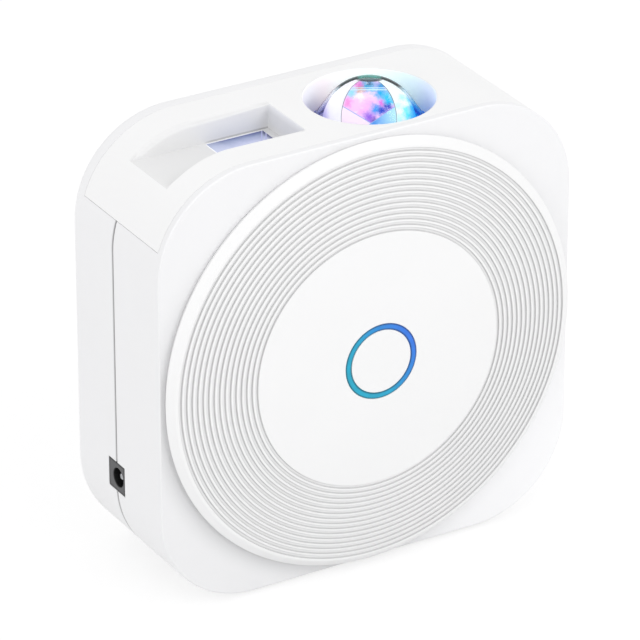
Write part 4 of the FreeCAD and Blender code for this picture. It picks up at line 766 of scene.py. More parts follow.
# ---------------- top cover
def recess_tool():
    """Room of the laser recess, with its front foot rounded."""
    low = (-SIDE_X - FAR_OVER, OPTICS_Y - RECESS_HALF, RECESS_FLOOR_Z)
    tool = block("recess room", low, (RECESS_END_X, OPTICS_Y + RECESS_HALF, TOP_Z + FAR_OVER))

    def foot(edge):
        return along(0)(edge) and near(middle(edge).y, low[1]) and near(middle(edge).z, low[2])
    soften(tool, foot, RECESS_FOOT_RADIUS, 6)
    soften(tool, lambda e: along(2)(e) and near(middle(e).x, RECESS_END_X), RECESS_CORNER_RADIUS, 3)
    return tool


def window_block(name, x, y, z0, z1):
    """Box over the window's plate, smaller by x and y at each side."""
    return block(name, (WINDOW_LOW.x + x, WINDOW_LOW.y + y, z0), (WINDOW_HIGH.x - x, WINDOW_HIGH.y - y, z1))


def window_hole(grow, z0, z1):
    x, y = (max(ledge - grow, -FIT_GAP) for ledge in (WINDOW_LEDGE, WINDOW_SIDE_LEDGE))
    tool = window_block("window hole", x, y, z0, z1)
    soften(tool, along(2), WINDOW_CORNER_RADIUS, 6)
    return tool


def well_post(name, z0, z1, radius):
    return post(name, (WELL_X, OPTICS_Y, z0), (WELL_X, OPTICS_Y, z1), radius, ROUND_STEPS)


def cover_post(side_x, side_y):
    """Screw post from the cover's foot up into its rounded corner."""
    x = side_x * COVER_POST_X
    y = (COVER_LOW.y + COVER_HIGH.y) / 2 + side_y * COVER_POST_OFFSET
    straight = SIDE_X - CORNER_RADIUS
    reach = COVER_POST_X + COVER_POST_RADIUS - straight
    room = math.sqrt((CORNER_RADIUS - COVER_SKIN / 2) ** 2 - reach ** 2)
    top = MID_Z + straight + room - COVER_POST_SINK
    return post("post", (x, y, COVER_LOW.z), (x, y, top), COVER_POST_RADIUS)


def top_cover(material):
    y0, y1 = COVER_LOW.y, COVER_HIGH.y
    cover = casing_block("top_cover_strip", y0, y1)
    slice_at(cover, (0, 0, COVER_Z), (0, 0, -1), clear_outer=True)
    drop_faces(cover, lambda f: near(abs(f.normal.y), 1))
    thicken(cover, COVER_SKIN)

    def rim(edge):
        at_side = any(lies_at(1, y)(edge) for y in (y0, y1))
        return on_rim(edge, lambda p: True) and (at_side or lies_at(2, COVER_Z)(edge))
    soften(cover, rim, JOINT_EDGE, 3)

    liner = block("liner", (-SIDE_X - OVER, OPTICS_Y - RECESS_HALF - COVER_SKIN, RECESS_FLOOR_Z - COVER_SKIN),
                  (RECESS_END_X + COVER_SKIN, OPTICS_Y + RECESS_HALF + COVER_SKIN, TOP_Z + OVER))
    combine(liner, casing_block("casing room", FRONT_Y, BACK_Y, COVER_LINER_INSET), "INTERSECT")
    unite(cover, liner)
    well_foot = WELL_FLOOR_Z - WELL_FLOOR
    unite(cover, well_post("well", well_foot, TOP_Z - COVER_SKIN / 2, WELL_RADIUS + WELL_WALL))
    for side_x in (-1, 1):
        for side_y in (-1, 1):
            unite(cover, cover_post(side_x, side_y))
    cut(cover, recess_tool())
    cut(cover, well_post("well bore", WELL_FLOOR_Z, TOP_Z + FAR_OVER, WELL_RADIUS))
    cut(cover, well_post("bush hole", WELL_FLOOR_Z - FAR_OVER, TOP_Z + FAR_OVER, WELL_HOLE_RADIUS))
    cut(cover, window_hole(0, RECESS_FLOOR_Z - FAR_OVER, RECESS_FLOOR_Z + 2 * OVER))
    cut(cover, window_hole(WINDOW_LEDGE + FIT_GAP, RECESS_FLOOR_Z - FAR_OVER, RECESS_FLOOR_Z - WINDOW_SINK))
    tidy_mesh(cover)

    def side_edge(side, lowest):
        """Test for a long edge of the recess above a height; side is 1 for the far one."""
        return lambda edge: on_rim(edge, lambda p: near(p.y, OPTICS_Y + side * RECESS_HALF) and p.z > lowest)

    def end_edge(edge):
        return on_rim(edge, lambda p: near(p.z, TOP_Z) and near(p.x, RECESS_END_X, END_SLACK)
                      and abs(p.y - OPTICS_Y) < RECESS_HALF + SLACK)

    def well_edge(edge):
        return on_rim(edge, lambda p: near(math.hypot(p.x - WELL_X, p.y - OPTICS_Y), WELL_RADIUS))
    choices = (
        (side_edge(1, RECESS_FLOOR_Z + FAR_EDGE_START), 1.0),
        (side_edge(-1, RECESS_FLOOR_Z + NEAR_EDGE_START), RECESS_EDGE_SHARE),
        (end_edge, RECESS_EDGE_SHARE), (well_edge, WELL_EDGE_SHARE),
    )
    soften_by_share(cover, choices, RECESS_SOFT_EDGE, 4, miter_outer="MITER_ARC")
    settle(cover, "housing", "white_cover", material, "top_cover")


# ---------------- front disc, light ring, button
def crown_y(radius, inset=0.0):
    return APEX_Y + DISC_CROWN - math.sqrt((DISC_CROWN - inset) ** 2 - radius ** 2)


def crown_points(start, end, steps, inset=0.0):
    """Points along the crown, or along its inside when there is an inset."""
    return [(r, crown_y(r, inset)) for r in (start + (end - start) * i / steps for i in range(steps + 1))]


def groove_points(middle_radius):
    """Outline of one groove, from its inner lip to its outer lip, with worn lips."""
    inner, outer = middle_radius - GROOVE_WIDTH / 2, middle_radius + GROOVE_WIDTH / 2
    lip, foot = GROOVE_LIP, GROOVE_FOOT
    floor = crown_y(middle_radius) + GROOVE_DEPTH
    points = arc((inner - lip, crown_y(inner) + lip), lip, -90, 0, 3)
    points += arc((inner + foot, floor - foot), foot, 180, 90, 2)
    points += arc((outer - foot, floor - foot), foot, 90, 0, 2)
    points += arc((outer + lip, crown_y(outer) + lip), lip, 180, 270, 3)
    return points


def front_disc(material):
    hole = RING_OUTER + FIT_GAP
    lip = DISC_HOLE_LIP
    outline = arc((hole + lip, crown_y(hole + lip) + lip), lip, 180, 270, 3)
    outline += crown_points(hole + DISC_HOLE_RIM, GROOVES_START, CROWN_STEPS)
    for i in range(GROOVE_COUNT):
        outline += groove_points(FIRST_GROOVE + i * GROOVE_PITCH)
    land = (DISC_LAND_RADIUS, crown_y(DISC_LAND_RADIUS))
    bevel_foot = (DISC_RADIUS, land[1] + DISC_BEVEL_DEPTH)
    rim_back = (DISC_RADIUS, bevel_foot[1] + DISC_EDGE_THICKNESS)
    neck = (DISC_NECK_RADIUS, rim_back[1])
    neck_foot = (DISC_NECK_RADIUS, DISC_BACK_Y)
    corners = [outline[-1], land, bevel_foot, rim_back, neck, neck_foot]
    reaches = [DISC_SOFT_CORNER, DISC_CRISP_CORNER, DISC_CRISP_CORNER, DISC_SOFT_CORNER]
    for before, corner, after, reach in zip(corners, corners[1:], corners[2:], reaches):
        outline += eased(before, corner, after, reach)
    inner_wall = DISC_NECK_RADIUS - DISC_SKIN
    outline += [neck_foot, (inner_wall, DISC_BACK_Y)]
    outline += crown_points(inner_wall, hole, CROWN_STEPS, DISC_SKIN)
    outline.append(outline[0])
    disc = turned("front_disc_face", outline, (0, 0, MID_Z), "Y", DISC_STEPS)
    settle(disc, "housing", "white_disc", material, "front_disc", sharp_angle=40)


def ring_light_guide(material):
    high = cad_box("ring_light_guide")[1]
    lip = RING_LIP
    flange_y = crown_y(RING_OUTER, DISC_SKIN) + FIT_GAP
    flange_back = flange_y + RING_FLANGE
    wide = RING_INNER + RING_STEP
    outline = arc((RING_INNER + lip, RING_Y + lip), lip, 180, 270, 4)
    outline += arc((RING_OUTER - lip, RING_Y + lip), lip, 270, 360, 4)
    outline += [
        (RING_OUTER, flange_y), (high.x, flange_y), (high.x, flange_back), (RING_OUTER, flange_back),
        (RING_OUTER, high.y), (wide, high.y), (wide, SHOULDER_Y), (RING_INNER, SHOULDER_Y), outline[0],
    ]
    ring = turned("light_ring", outline, (0, 0, MID_Z), "Y", RING_STEPS)
    settle(ring, "housing", "light_guide", material, "ring_light_guide", sharp_angle=40)


def button_cap(material):
    high = cad_box("button_cap")[1]
    shoulder = SHOULDER_Y + FIT_GAP
    shoulder_back = shoulder + RING_FLANGE
    skin_y = APEX_Y + BUTTON_SKIN
    flat = BUTTON_RADIUS - BUTTON_LIP
    inner = BUTTON_RADIUS - BUTTON_WALL
    outline = crown_points(0, flat, BUTTON_CROWN_STEPS)
    outline += arc((flat, crown_y(flat) + BUTTON_LIP), BUTTON_LIP, 270, 360, 4)[1:]
    outline += [
        (BUTTON_RADIUS, shoulder), (high.x, shoulder), (high.x, shoulder_back), (inner, shoulder_back),
        (inner, skin_y), (BUTTON_STEM_RADIUS, skin_y), (BUTTON_STEM_RADIUS, high.y), (0, high.y),
    ]
    button = turned("centre_button", outline, (0, 0, MID_Z), "Y", ROUND_STEPS)
    settle(button, "button", "white_disc", material, "button_cap", sharp_angle=40)


# ---------------- dome
def dome_points(radius, start, end, steps):
    """Points (radius, height) of the dome's round, from one rise to another, in radians."""
    rises = [start + (end - start) * i / steps for i in range(steps + 1)]
    points = [(radius * math.cos(rise), DOME_Z + radius * math.sin(rise)) for rise in rises]
    return [(0, points[0][1])] + points[1:]


def bell_points(radius, foot_z):
    """Half section from the top of the bell down its flare to a height."""
    points = dome_points(radius, math.pi / 2, BELL_FLARE, BELL_STEPS)
    foot_r, start_z = points[-1]
    drop = start_z - foot_z
    drops = [drop * share for share in (0.33, 0.66, 1.0)]
    return points + [(foot_r + fall * math.tan(BELL_FLARE), start_z - fall) for fall in drops]


def dome_lens(material):
    flange_top = WELL_FLOOR_Z + BELL_FLANGE
    outline = bell_points(BELL_RADIUS, flange_top)
    rim, edge = BELL_FLANGE_RADIUS, BELL_FLANGE_EDGE
    outline += [(rim - edge, flange_top), (rim, flange_top - edge), (rim, WELL_FLOOR_Z)]
    outline += bell_points(BELL_RADIUS - BELL_SKIN, WELL_FLOOR_Z)[::-1]
    bell = turned("bell_lens", outline, (WELL_X, OPTICS_Y, 0), "Z", ROUND_STEPS)
    settle(bell, "housing", "clear_lens", material, "dome_lens", sharp_angle=50)


def from_view(across, upward, nearer):
    """Vector given across, upward and towards the camera."""
    return VIEW_RIGHT * across + VIEW_UP * upward - VIEW_FORWARD * nearer


# Planes that part the petals, as normals across, upward and towards the camera and distances from the middle.
PETAL_PLANES = [((0.66, 0.09, 0.745), 2.75), ((-0.687, 0.053, 0.724), 2.733)]
PETAL_PLANES += [((side * 0.4, 0.0, -0.917), 5.6) for side in (1, -1)]
CAP_AXIS = (0.0, math.cos(CAMERA_ELEVATION - PETAL_CAP_TILT), math.sin(CAMERA_ELEVATION - PETAL_CAP_TILT))
CAP_AWAY = 12.76


def groove_ring(normal, away):
    """Thin ring that lies in the petals' skin, to cut a groove with."""
    normal = from_view(*normal).normalized()
    bpy.ops.mesh.primitive_torus_add(
        major_radius=math.sqrt(PETAL_RADIUS ** 2 - away ** 2), minor_radius=PETAL_GROOVE,
        major_segments=144, minor_segments=10, location=Vector((WELL_X, OPTICS_Y, DOME_Z)) + normal * away,
        rotation=normal.to_track_quat("Z", "Y").to_euler(),
    )
    bpy.ops.object.transform_apply()
    return bpy.context.object


def petal_lens(material):
    """Round lens with grooves between its four petals and round its cap."""
    foot_rise = math.asin((PETAL_FOOT_Z - DOME_Z) / PETAL_RADIUS)
    outside, inside = (dome_points(radius, math.pi / 2, foot_rise, PETAL_STEPS)
                       for radius in (PETAL_RADIUS, PETAL_RADIUS - PETAL_SKIN))
    spigot, spigot_foot = PETAL_SPIGOT_RADIUS, PETAL_FOOT_Z - PETAL_SPIGOT_DEPTH
    outline = outside + [(spigot, PETAL_FOOT_Z), (spigot, spigot_foot)]
    outline += [(spigot - PETAL_SPIGOT_WALL, spigot_foot)] + inside[::-1]
    lens = turned("petal_dome", outline, (WELL_X, OPTICS_Y, 0), "Z", ROUND_STEPS)
    for normal, away in PETAL_PLANES + [(CAP_AXIS, CAP_AWAY)]:
        cut(lens, groove_ring(normal, away))
    tidy_mesh(lens)
    settle(lens, "nebula_rotor", "petal_lens", material, "petal_lens", sharp_angle=30)


# ---------------- window, inlet, feet
def laser_window(material):
    """Plate with a step that stands up into its opening."""
    plate = block("laser_window_plate", WINDOW_LOW, WINDOW_HIGH)
    soften(plate, along(2), WINDOW_CORNER_RADIUS, 8)
    soften(plate, lies_at(2, WINDOW_HIGH.z), WINDOW_TOP_EDGE, 3)
    soften(plate, lies_at(2, WINDOW_LOW.z), WINDOW_UNDER_EDGE, 2)
    x, y = WINDOW_LEDGE + WINDOW_STEP_GAP, WINDOW_SIDE_LEDGE + WINDOW_STEP_GAP
    top = RECESS_FLOOR_Z - WINDOW_STEP_SINK
    step = window_block("step", x, y, WINDOW_HIGH.z - WINDOW_STEP_ROOT, top)
    soften(step, along(2), WINDOW_CORNER_RADIUS - WINDOW_STEP_GAP, 6)
    soften(step, lies_at(2, top), WINDOW_STEP_EDGE, 3)
    unite(plate, step)
    settle(plate, "housing", "window_glass", material, "laser_window")


def inlet_housing(material):
    body = block("inlet_socket", INLET_LOW, INLET_HIGH)
    soften(body, along(0), INLET_CORNER, 4)
    soften(body, lies_at(0, INLET_LOW.x), INLET_FACE_EDGE, 3)
    for name, start, end, radius, steps in (
        ("bore", INLET_LOW.x - OVER, INLET_LOW.x + INLET_BORE_DEPTH, INLET_BORE_RADIUS, 64),
        ("seat", INLET_LOW.x, INLET_HIGH.x + OVER, INLET_SEAT_RADIUS, 32),
    ):
        cut(body, post(name, (start, INLET_BORE_Y, INLET_Z), (end, INLET_BORE_Y, INLET_Z), radius, steps))

    def mouth(edge):
        return lies_at(0, INLET_LOW.x)(edge) and all(
            near(math.hypot(p.y - INLET_BORE_Y, p.z - INLET_Z), INLET_BORE_RADIUS, SKIN_SLACK)
            for p in ends(edge))
    soften(body, mouth, INLET_MOUTH_EDGE, 3)
    settle(body, "housing", "black_plastic", material, "inlet_housing")


def rubber_feet(material):
    """Four round pads with a moulded ring in their soles."""
    top = BASE_Z + FOOT_RECESS
    ring, flat = FOOT_RADIUS - SOLE_RING, FOOT_RADIUS - FOOT_EDGE
    outline = [(0, SOLE_RING_DEPTH), (ring, SOLE_RING_DEPTH), (ring + SOLE_RING_SLOPE, 0.0), (flat, 0.0)]
    outline += arc((flat, FOOT_EDGE), FOOT_EDGE, -90, 0, 4)[1:]
    outline += [(FOOT_RADIUS, top - FOOT_TOP_EDGE), (FOOT_RADIUS - FOOT_TOP_EDGE, top), (0, top)]
    first_x, first_y = FEET[0]
    first = turned("rubber_foot_pads", outline, (first_x, first_y, 0), "Z", FOOT_STEPS)
    pads = [first]
    for x, y in FEET[1:]:
        pad = first.copy()
        pad.data = first.data.copy()
        bpy.context.collection.objects.link(pad)
        alone(pad)
        pad.location = (x - first_x, y - first_y, 0)
        bpy.ops.object.transform_apply()
        pads.append(pad)
    for pad in pads:
        pad.select_set(True)
    bpy.context.view_layer.objects.active = first
    bpy.ops.object.join()
    settle(first, "housing", "rubber", material, "rubber_feet", sharp_angle=40)


# ---------------- finishes of the shown pieces
def dome_view(place):
    """Place from the dome's middle in millimetres, as across, upward and towards the camera."""
    centred = place - Vector((WELL_X, OPTICS_Y, DOME_Z)) * MM
    across, upward, nearer = (centred.dot(axis / MM) for axis in (VIEW_RIGHT, VIEW_UP, -VIEW_FORWARD))
    joined = across.made("ShaderNodeCombineXYZ", {"X": across, "Y": upward, "Z": nearer})
    return across, upward, joined


# Spots of paint: place across and upward from the dome's middle, radius and colour.
FRONT_PETAL_SPOTS = [
    (-0.4, 10.9, 3.6, 10, 162, 216), (-3.0, 10.9, 1.8, 226, 104, 206), (0.0, 11.1, 1.0, 10, 66, 120),
    (3.3, 10.5, 2.3, 0, 138, 208), (0.6, 8.9, 1.9, 90, 196, 246), (-2.7, 8.9, 2.0, 202, 120, 92),
    (-4.9, 8.5, 2.2, 150, 222, 250), (3.0, 8.3, 3.0, 0, 172, 236), (-2.6, 7.5, 2.4, 255, 248, 252),
    (5.0, 7.5, 2.5, 0, 198, 244), (0.4, 7.2, 2.6, 252, 218, 250), (5.3, 6.3, 1.9, 40, 214, 250),
    (-5.9, 5.7, 2.2, 252, 150, 224), (-3.4, 5.0, 2.8, 250, 202, 248), (3.1, 5.4, 1.6, 232, 112, 226),
    (0.2, 5.2, 2.8, 240, 186, 250), (5.1, 6.2, 2.2, 0, 194, 244), (5.0, 4.4, 2.0, 16, 48, 186),
    (1.9, 3.8, 2.4, 36, 148, 236), (-1.6, 3.2, 2.2, 248, 184, 242), (3.5, 3.3, 1.9, 16, 62, 200),
    (-0.2, 1.5, 2.6, 150, 96, 226), (1.4, 0.2, 1.8, 80, 54, 180),
]
RIGHT_PETAL_SPOTS = [
    (8.9, 7.4, 1.5, 176, 246, 252), (7.9, 5.0, 1.6, 206, 250, 254), (9.9, 4.0, 1.6, 130, 240, 251),
    (12.0, 4.6, 2.0, 0, 204, 244), (11.0, 7.0, 1.8, 0, 204, 244), (10.6, 2.4, 2.2, 100, 236, 252),
    (8.2, 1.4, 1.9, 200, 250, 255),
]
PETAL_BLEND = 0.03
# The dark lines between the petals are painted shade in their grooves.
PETAL_RIB, CAP_RIB = 0.19, 0.2          # Half widths of the dark lines between the petals.
PRINT_BLEND = 0.04
PRINT_SEAM = 0.13
PRINT_SEAMS = (((-0.525, -0.851, 0.0), -0.15), ((0.58, -0.815, 0.0), 0.25))
PRINT_LINES = ((9.86, 0.12), (9.31, 0.15))      # Heights and half widths.
NEBULA_GLOW = 0.62
RING_GLOW = 0.85
WELL_GLOW = 0.34
# Glow of the window's painted edge highlights.
WINDOW_EDGE_HIGHLIGHT = 0.16
WINDOW_BARS = (-21.5, -20.1)
WINDOW_BAR_SLANT = 0.592
# Directions in which the casing's front gets painted shade and painted light.
LOWER_LEFT, LOWER_RIGHT = (-0.64, 0.0, -0.77), (0.64, 0.0, -0.77)


def painted_spots(place, colour, spots):
    for x, y, radius, *paint in spots:
        inputs = {"Place": place, "Middle": (x, y, 0.0), "Radius": radius}
        colour = place.made("ShaderNodeGroup", inputs, "Mask", node_tree=SPOT).mix(colour, rgb(*paint))
    return colour


def front_petal_colour(cloudy, flat, across, upward, wisps):
    """Cloud print above a pink part and a blue part, with two pale lines across it."""
    colour = wisps.mix(painted_spots(cloudy, rgb(242, 200, 248), FRONT_PETAL_SPOTS), rgb(255, 250, 255))
    left_foot, right_foot = (flat.dot(normal) - away for normal, away in PRINT_SEAMS)
    pink = wisps.mix(rgb(253, 234, 249), rgb(255, 252, 255))
    sky = wisps.mix(across.scaled(1.0, 7.0).mix(rgb(70, 150, 234), rgb(180, 234, 252)), rgb(190, 232, 252))
    colour = left_foot.past(PRINT_BLEND).mix(colour, pink)
    colour = right_foot.past(PRINT_BLEND).mix(colour, sky)
    seams = (left_foot.line(PRINT_SEAM) * (right_foot < 0.1)).max(right_foot.line(PRINT_SEAM))
    colour = seams.mix(colour, rgb(146, 178, 232))
    upper, lower = ((upward - height).line(half_width) for height, half_width in PRINT_LINES)
    return upper.max(lower).mix(colour, rgb(214, 248, 255))


def nebula_material():
    """Glowing cloud print on the front petal, pale petals beside it and a teal cap."""
    material, shader, place = new_material("nebula petals")
    across, upward, place = dome_view(place)
    flat = place * (1.0, 1.0, 0.0)
    pushed = (place.noise(1.0, 7.0, 0.72, "Color") - 0.5).gain(3.4)
    cloudy = (flat + pushed) * (1.0, 1.0, 0.0)
    wisps = cloudy.noise(0.6, 6.0, 0.7).soft(0.54, 0.7, 0.0, 0.7)
    haze = place.noise(1.0, 7.0, 0.72).scaled(0.4, 0.7, 0.0, 0.6)
    left_colour = haze.mix(rgb(253, 253, 255), rgb(232, 226, 252))
    right_colour = painted_spots(cloudy, rgb(244, 255, 255), RIGHT_PETAL_SPOTS)

    beyond = [place.dot(normal) - away for normal, away in PETAL_PLANES]
    front_colour = front_petal_colour(cloudy, flat, across, upward, wisps)
    colour = beyond[0].past(PETAL_BLEND).mix(left_colour, front_colour)
    colour = beyond[1].past(PETAL_BLEND).mix(right_colour, colour)
    cap_distance = place.dot(CAP_AXIS) - CAP_AWAY
    teal = across.past(2.5).mix(rgb(8, 74, 66), rgb(2, 92, 108))
    colour = cap_distance.past(PETAL_BLEND).mix(colour, teal)

    # Painted shade in the grooves between the petals and round the cap, darker higher up.
    rib_shade = cap_distance.line(CAP_RIB)
    for distance in beyond:
        rib_shade = rib_shade.max(distance.line(PETAL_RIB))
    colour = (rib_shade * upward.scaled(1.0, 9.0, 0.6, 0.96)).mix(colour, rgb(4, 22, 54))
    feed(shader, {
        "Base Color": colour.gain(0.5), "Emission Color": colour, "Emission Strength": NEBULA_GLOW,
        "Roughness": 0.32, "IOR": 1.49,
    })
    return material


def bell_material():
    """Clear bell: painted dark shade where the top is seen edge on with faint painted cyan light on the edge
    lower down, blue and violet towards its flared foot.
    """
    material, shader, place = new_material("clear bell")
    across, upward = dome_view(place)[:2]
    rise = place.parts()[2].scaled(WELL_FLOOR_Z * MM, (WELL_FLOOR_Z + 10.0) * MM)
    left_tint = rise.ramp([
        (0.0, rgb(84, 98, 180)), (0.3, rgb(140, 150, 216)), (0.7, rgb(224, 218, 250)),
        (1.0, rgb(252, 253, 255)),
    ])
    right_tint = rise.ramp([
        (0.0, rgb(0, 140, 238)), (0.4, rgb(0, 156, 246)), (0.7, rgb(60, 200, 252)), (1.0, rgb(236, 252, 255)),
    ])
    off_middle = abs(across)
    beside = off_middle.soft(10.5, 12.5)
    tint = beside.mix(rgb(252, 253, 255), across.past(2.0).mix(left_tint, right_tint))
    on_top = upward.soft(8.0, 10.8)
    # Painted shade where the top is seen edge on, and faint painted cyan light on the edge lower down.
    edge_on = place.made("ShaderNodeLayerWeight", {}, "Facing")
    painted_limb = edge_on.soft(0.63, 0.69) * on_top.scaled(0.0, 1.0, 0.15, 1.0)
    top_colour = off_middle.scaled(2.4, 3.4).mix(rgb(14, 96, 84), rgb(0, 2, 4))
    tint = painted_limb.mix(tint, on_top.mix(rgb(120, 226, 250), top_colour))
    feed(shader, {
        "Base Color": tint, "Roughness": place.noise(90.0, 3.0).spread(0.0, 0.03),
        "Transmission Weight": 1.0, "Specular IOR Level": 0.1, "IOR": 1.1,
    })
    return material


def axis_distance(place):
    """Distance from the disc's axis."""
    return ((place - (0, 0, MID_Z)) * (1, 0, 1)).length()


def ring_material():
    """Lit light guide, cyan at the lower left and blue at the upper right, with painted shade at its inner
    and outer edges.
    """
    material, shader, place = new_material("lit ring")
    run = (place / MM - (0, 0, MID_Z)).dot((0.86, 0.0, 0.5))
    glow = run.scaled(-RING_OUTER, RING_OUTER).ramp([
        (0.0, rgb(0, 166, 196)), (0.4, rgb(4, 158, 198)), (0.65, rgb(24, 138, 212)), (1.0, rgb(44, 114, 226)),
    ])
    uneven = (place - (0, 0, MID_Z * MM)).noise(500.0, 3.0).spread(0.9, 1.06)
    away = axis_distance(place / MM)
    # Painted shade at the ring's edges, beside its gaps to the button and the disc.
    inner_edge_shade = away.soft(RING_INNER + 0.1, RING_INNER + 0.5, 0.4, 1.0)
    outer_edge_shade = away.soft(RING_OUTER - 0.5, RING_OUTER - 0.1, 1.0, 0.4)
    glow = glow.gain(uneven * (inner_edge_shade * outer_edge_shade))
    feed(shader, {
        "Base Color": glow.gain(0.2), "Emission Color": glow, "Emission Strength": RING_GLOW,
        "Roughness": 0.3,
    })
    return material


def window_material():
    """Tinted optical glass: dusky blue at its far side, where a painted reflection of the recess wall greys
    it, lavender nearer, with bright bars and painted edge highlights.
    """
    material, shader, place = new_material("tinted window")
    place = place / MM
    x, y = place.parts()[:2]
    clouds = place.noise(0.3, 4.0)
    right, far = WINDOW_HIGH.x - WINDOW_LEDGE, WINDOW_HIGH.y - WINDOW_SIDE_LEDGE
    # The glass's blue tint, with a painted reflection of the recess wall that greys and darkens it towards
    # the far side.
    body = (y + clouds.spread(-0.5, 0.5)).scaled(2.0, far).ramp([
        (0.0, rgb(226, 230, 253)), (0.35, rgb(206, 212, 244)), (0.62, rgb(172, 182, 218)),
        (0.8, rgb(136, 148, 190)), (0.93, rgb(100, 112, 168)), (1.0, rgb(74, 84, 156)),
    ])
    body = x.soft(WINDOW_LOW.x, WINDOW_LOW.x + 10.0, 0.55, 0.0).mix(body, rgb(214, 222, 246))
    body = (x.soft(right - 2.2, right - 0.4) * 0.85).mix(body, rgb(50, 52, 112))
    slant = place.dot((1.0, -WINDOW_BAR_SLANT, 0.0))
    for bar in WINDOW_BARS:
        body = ((slant - bar).line(0.3) * 0.85).mix(body, rgb(196, 200, 244))
    # Painted highlights along the window's far, left and right edges, lifted by a faint glow.
    far_edge = y - (far - WINDOW_STEP_GAP - 0.16)
    left_edge = x - (WINDOW_LOW.x + WINDOW_LEDGE + WINDOW_STEP_GAP + 0.14)
    right_edge = x - (right - WINDOW_STEP_GAP - 0.1)
    edges = far_edge.line(0.34).max(left_edge.line(0.26)).max(right_edge.line(0.18))
    feed(shader, {
        "Base Color": edges.mix(body, rgb(250, 251, 255)), "Emission Color": edges.mix(BLACK, WHITE),
        "Emission Strength": WINDOW_EDGE_HIGHLIGHT, "Roughness": clouds.spread(0.06, 0.14), "IOR": 1.45,
    })
    return material


def glass_material(name, tint):
    material, shader, place = new_material(name)
    film = place.noise(200.0, 3.0)
    feed(shader, {
        "Base Color": film.scaled(0.35, 0.65, 0.0, 0.15).mix(tint, WHITE),
        "Roughness": film.spread(0.01, 0.06), "Transmission Weight": 1.0, "IOR": 1.52,
    })
    return material


def board_material():
    """Solder mask with copper tracks under it."""
    material, shader, place = new_material("circuit board")
    tracks = place.made("ShaderNodeTexBrick", {
        "Vector": place, "Scale": 260.0, "Color1": BLACK, "Color2": (0.1, 0.1, 0.1, 1), "Mortar": WHITE,
        "Mortar Size": 0.05,
    }, "Color")
    weave = place.noise(900.0, 2.0)
    mask = weave.spread().mix(rgb(16, 74, 48), rgb(22, 92, 60))
    colour = tracks.mix(mask, rgb(60, 132, 84))
    surface(shader, colour, weave.spread(0.3, 0.42), tracks, 0.2, 0.00004)
    return material


def led_material():
    """Silicone-capped emitters, cream with a yellow middle glow."""
    material, shader, place = new_material("led package")
    cells = place.made("ShaderNodeTexVoronoi", {"Vector": place, "Scale": 700.0}, "Distance")
    feed(shader, {
        "Base Color": cells.scaled(0.1, 0.7).mix(rgb(250, 226, 120), rgb(244, 240, 224)),
        "Roughness": cells.scaled(0.0, 1.0, 0.2, 0.45),
    })
    return material


def casing_shade_and_light(place, colour):
    """Painted shade in the parting line, a painted shadow of the disc round its foot that deepens towards the
    lower left, and painted light on the lower right corner of the front.
    """
    y = place.parts()[1]
    # Painted shade in the gap of the parting line.
    seam = abs(y - SEAM_Y).soft(0.35, 0.6, 0.4, 0.0)
    centred = place - (0, 0, MID_Z)
    # Painted shadow of the disc round its foot, with faint painted shade over the lower left of the front.
    foot = axis_distance(place).soft(DISC_NECK_RADIUS, DISC_RADIUS + 7.0, 0.14, 0.0)
    below = centred.dot(LOWER_LEFT).soft(-10.0, 60.0) * (foot + 0.05)
    # Painted light that lightens the lower right corner of the front.
    lower_right_light = centred.dot(LOWER_RIGHT).soft(30.0, 66.0, 0.0, 0.07)
    return colour.darkened(seam + (y < FRONT_Y + 0.1) * (below - lower_right_light))


def recess_shade(place, colour):
    """Painted shade on the recess's floor, in its right end, on its far wall and behind the window."""
    x, y, z = place.parts()
    off = y - OPTICS_Y
    above_floor = z > RECESS_FLOOR_Z - 0.15
    on_far_wall = (off > RECESS_HALF - 0.05) * above_floor
    floor_shade = z.soft(RECESS_FLOOR_Z + 0.2, RECESS_FLOOR_Z + 2.0, 0.1, 0.0) * above_floor
    end_shade = x.soft(RECESS_END_X - 9.0, RECESS_END_X, 0.0, 0.16)
    end_shade = end_shade * z.scaled(TOP_Z - 2.5, TOP_Z - 0.2, 1.0, 0.0)
    line_shade = z.scaled(RECESS_FLOOR_Z + 0.3, RECESS_FLOOR_Z + 0.75, 0.42, 0.0) * on_far_wall
    line_shade = line_shade * x.scaled(WINDOW_LOW.x, WINDOW_LOW.x + 3.0)
    far_shade = off.scaled(RECESS_HALF + 0.3, RECESS_HALF + RECESS_SOFT_EDGE, 0.11, 0.0) * on_far_wall
    within = floor_shade.max(line_shade).max(end_shade) * (abs(off) < RECESS_HALF + 0.05)
    return colour.darkened(within.max(far_shade) * (x < RECESS_END_X + 0.2))


def groove_shade(place, colour):
    """Painted shade that gathers in the grooves."""
    away = axis_distance(place)
    turns = (away - FIRST_GROOVE) / GROOVE_PITCH + 0.5
    off = abs(turns.step("FRACT") - 0.5) * GROOVE_PITCH
    inside = off.scaled(GROOVE_WIDTH / 2, GROOVE_WIDTH / 2 + 0.12, 1.0, 0.0)
    wall_shade = off.soft(0.14, 0.34, 0.0, 0.22)
    return colour.darkened(inside * wall_shade * ((away > GROOVES_START) * (away < GROOVES_END)))


def inlet_shade(place, colour):
    """Painted shade on the border and in the bore of the inlet."""
    y, z = place.parts()[1:]
    off = ((place - (0, INLET_BORE_Y, INLET_Z)) * (0, 1, 1)).length()
    bore = off.scaled(INLET_BORE_RADIUS + 0.05, INLET_BORE_RADIUS + 0.3, 0.93, 0.0)
    centre = (INLET_LOW + INLET_HIGH) / 2
    half = (INLET_HIGH.z - INLET_LOW.z) / 2
    border_shade = abs(y - centre.y).max(abs(z - centre.z)).scaled(half - 0.7, half - 0.4, 0.0, 0.75)
    return colour.darkened(bore.max(border_shade))


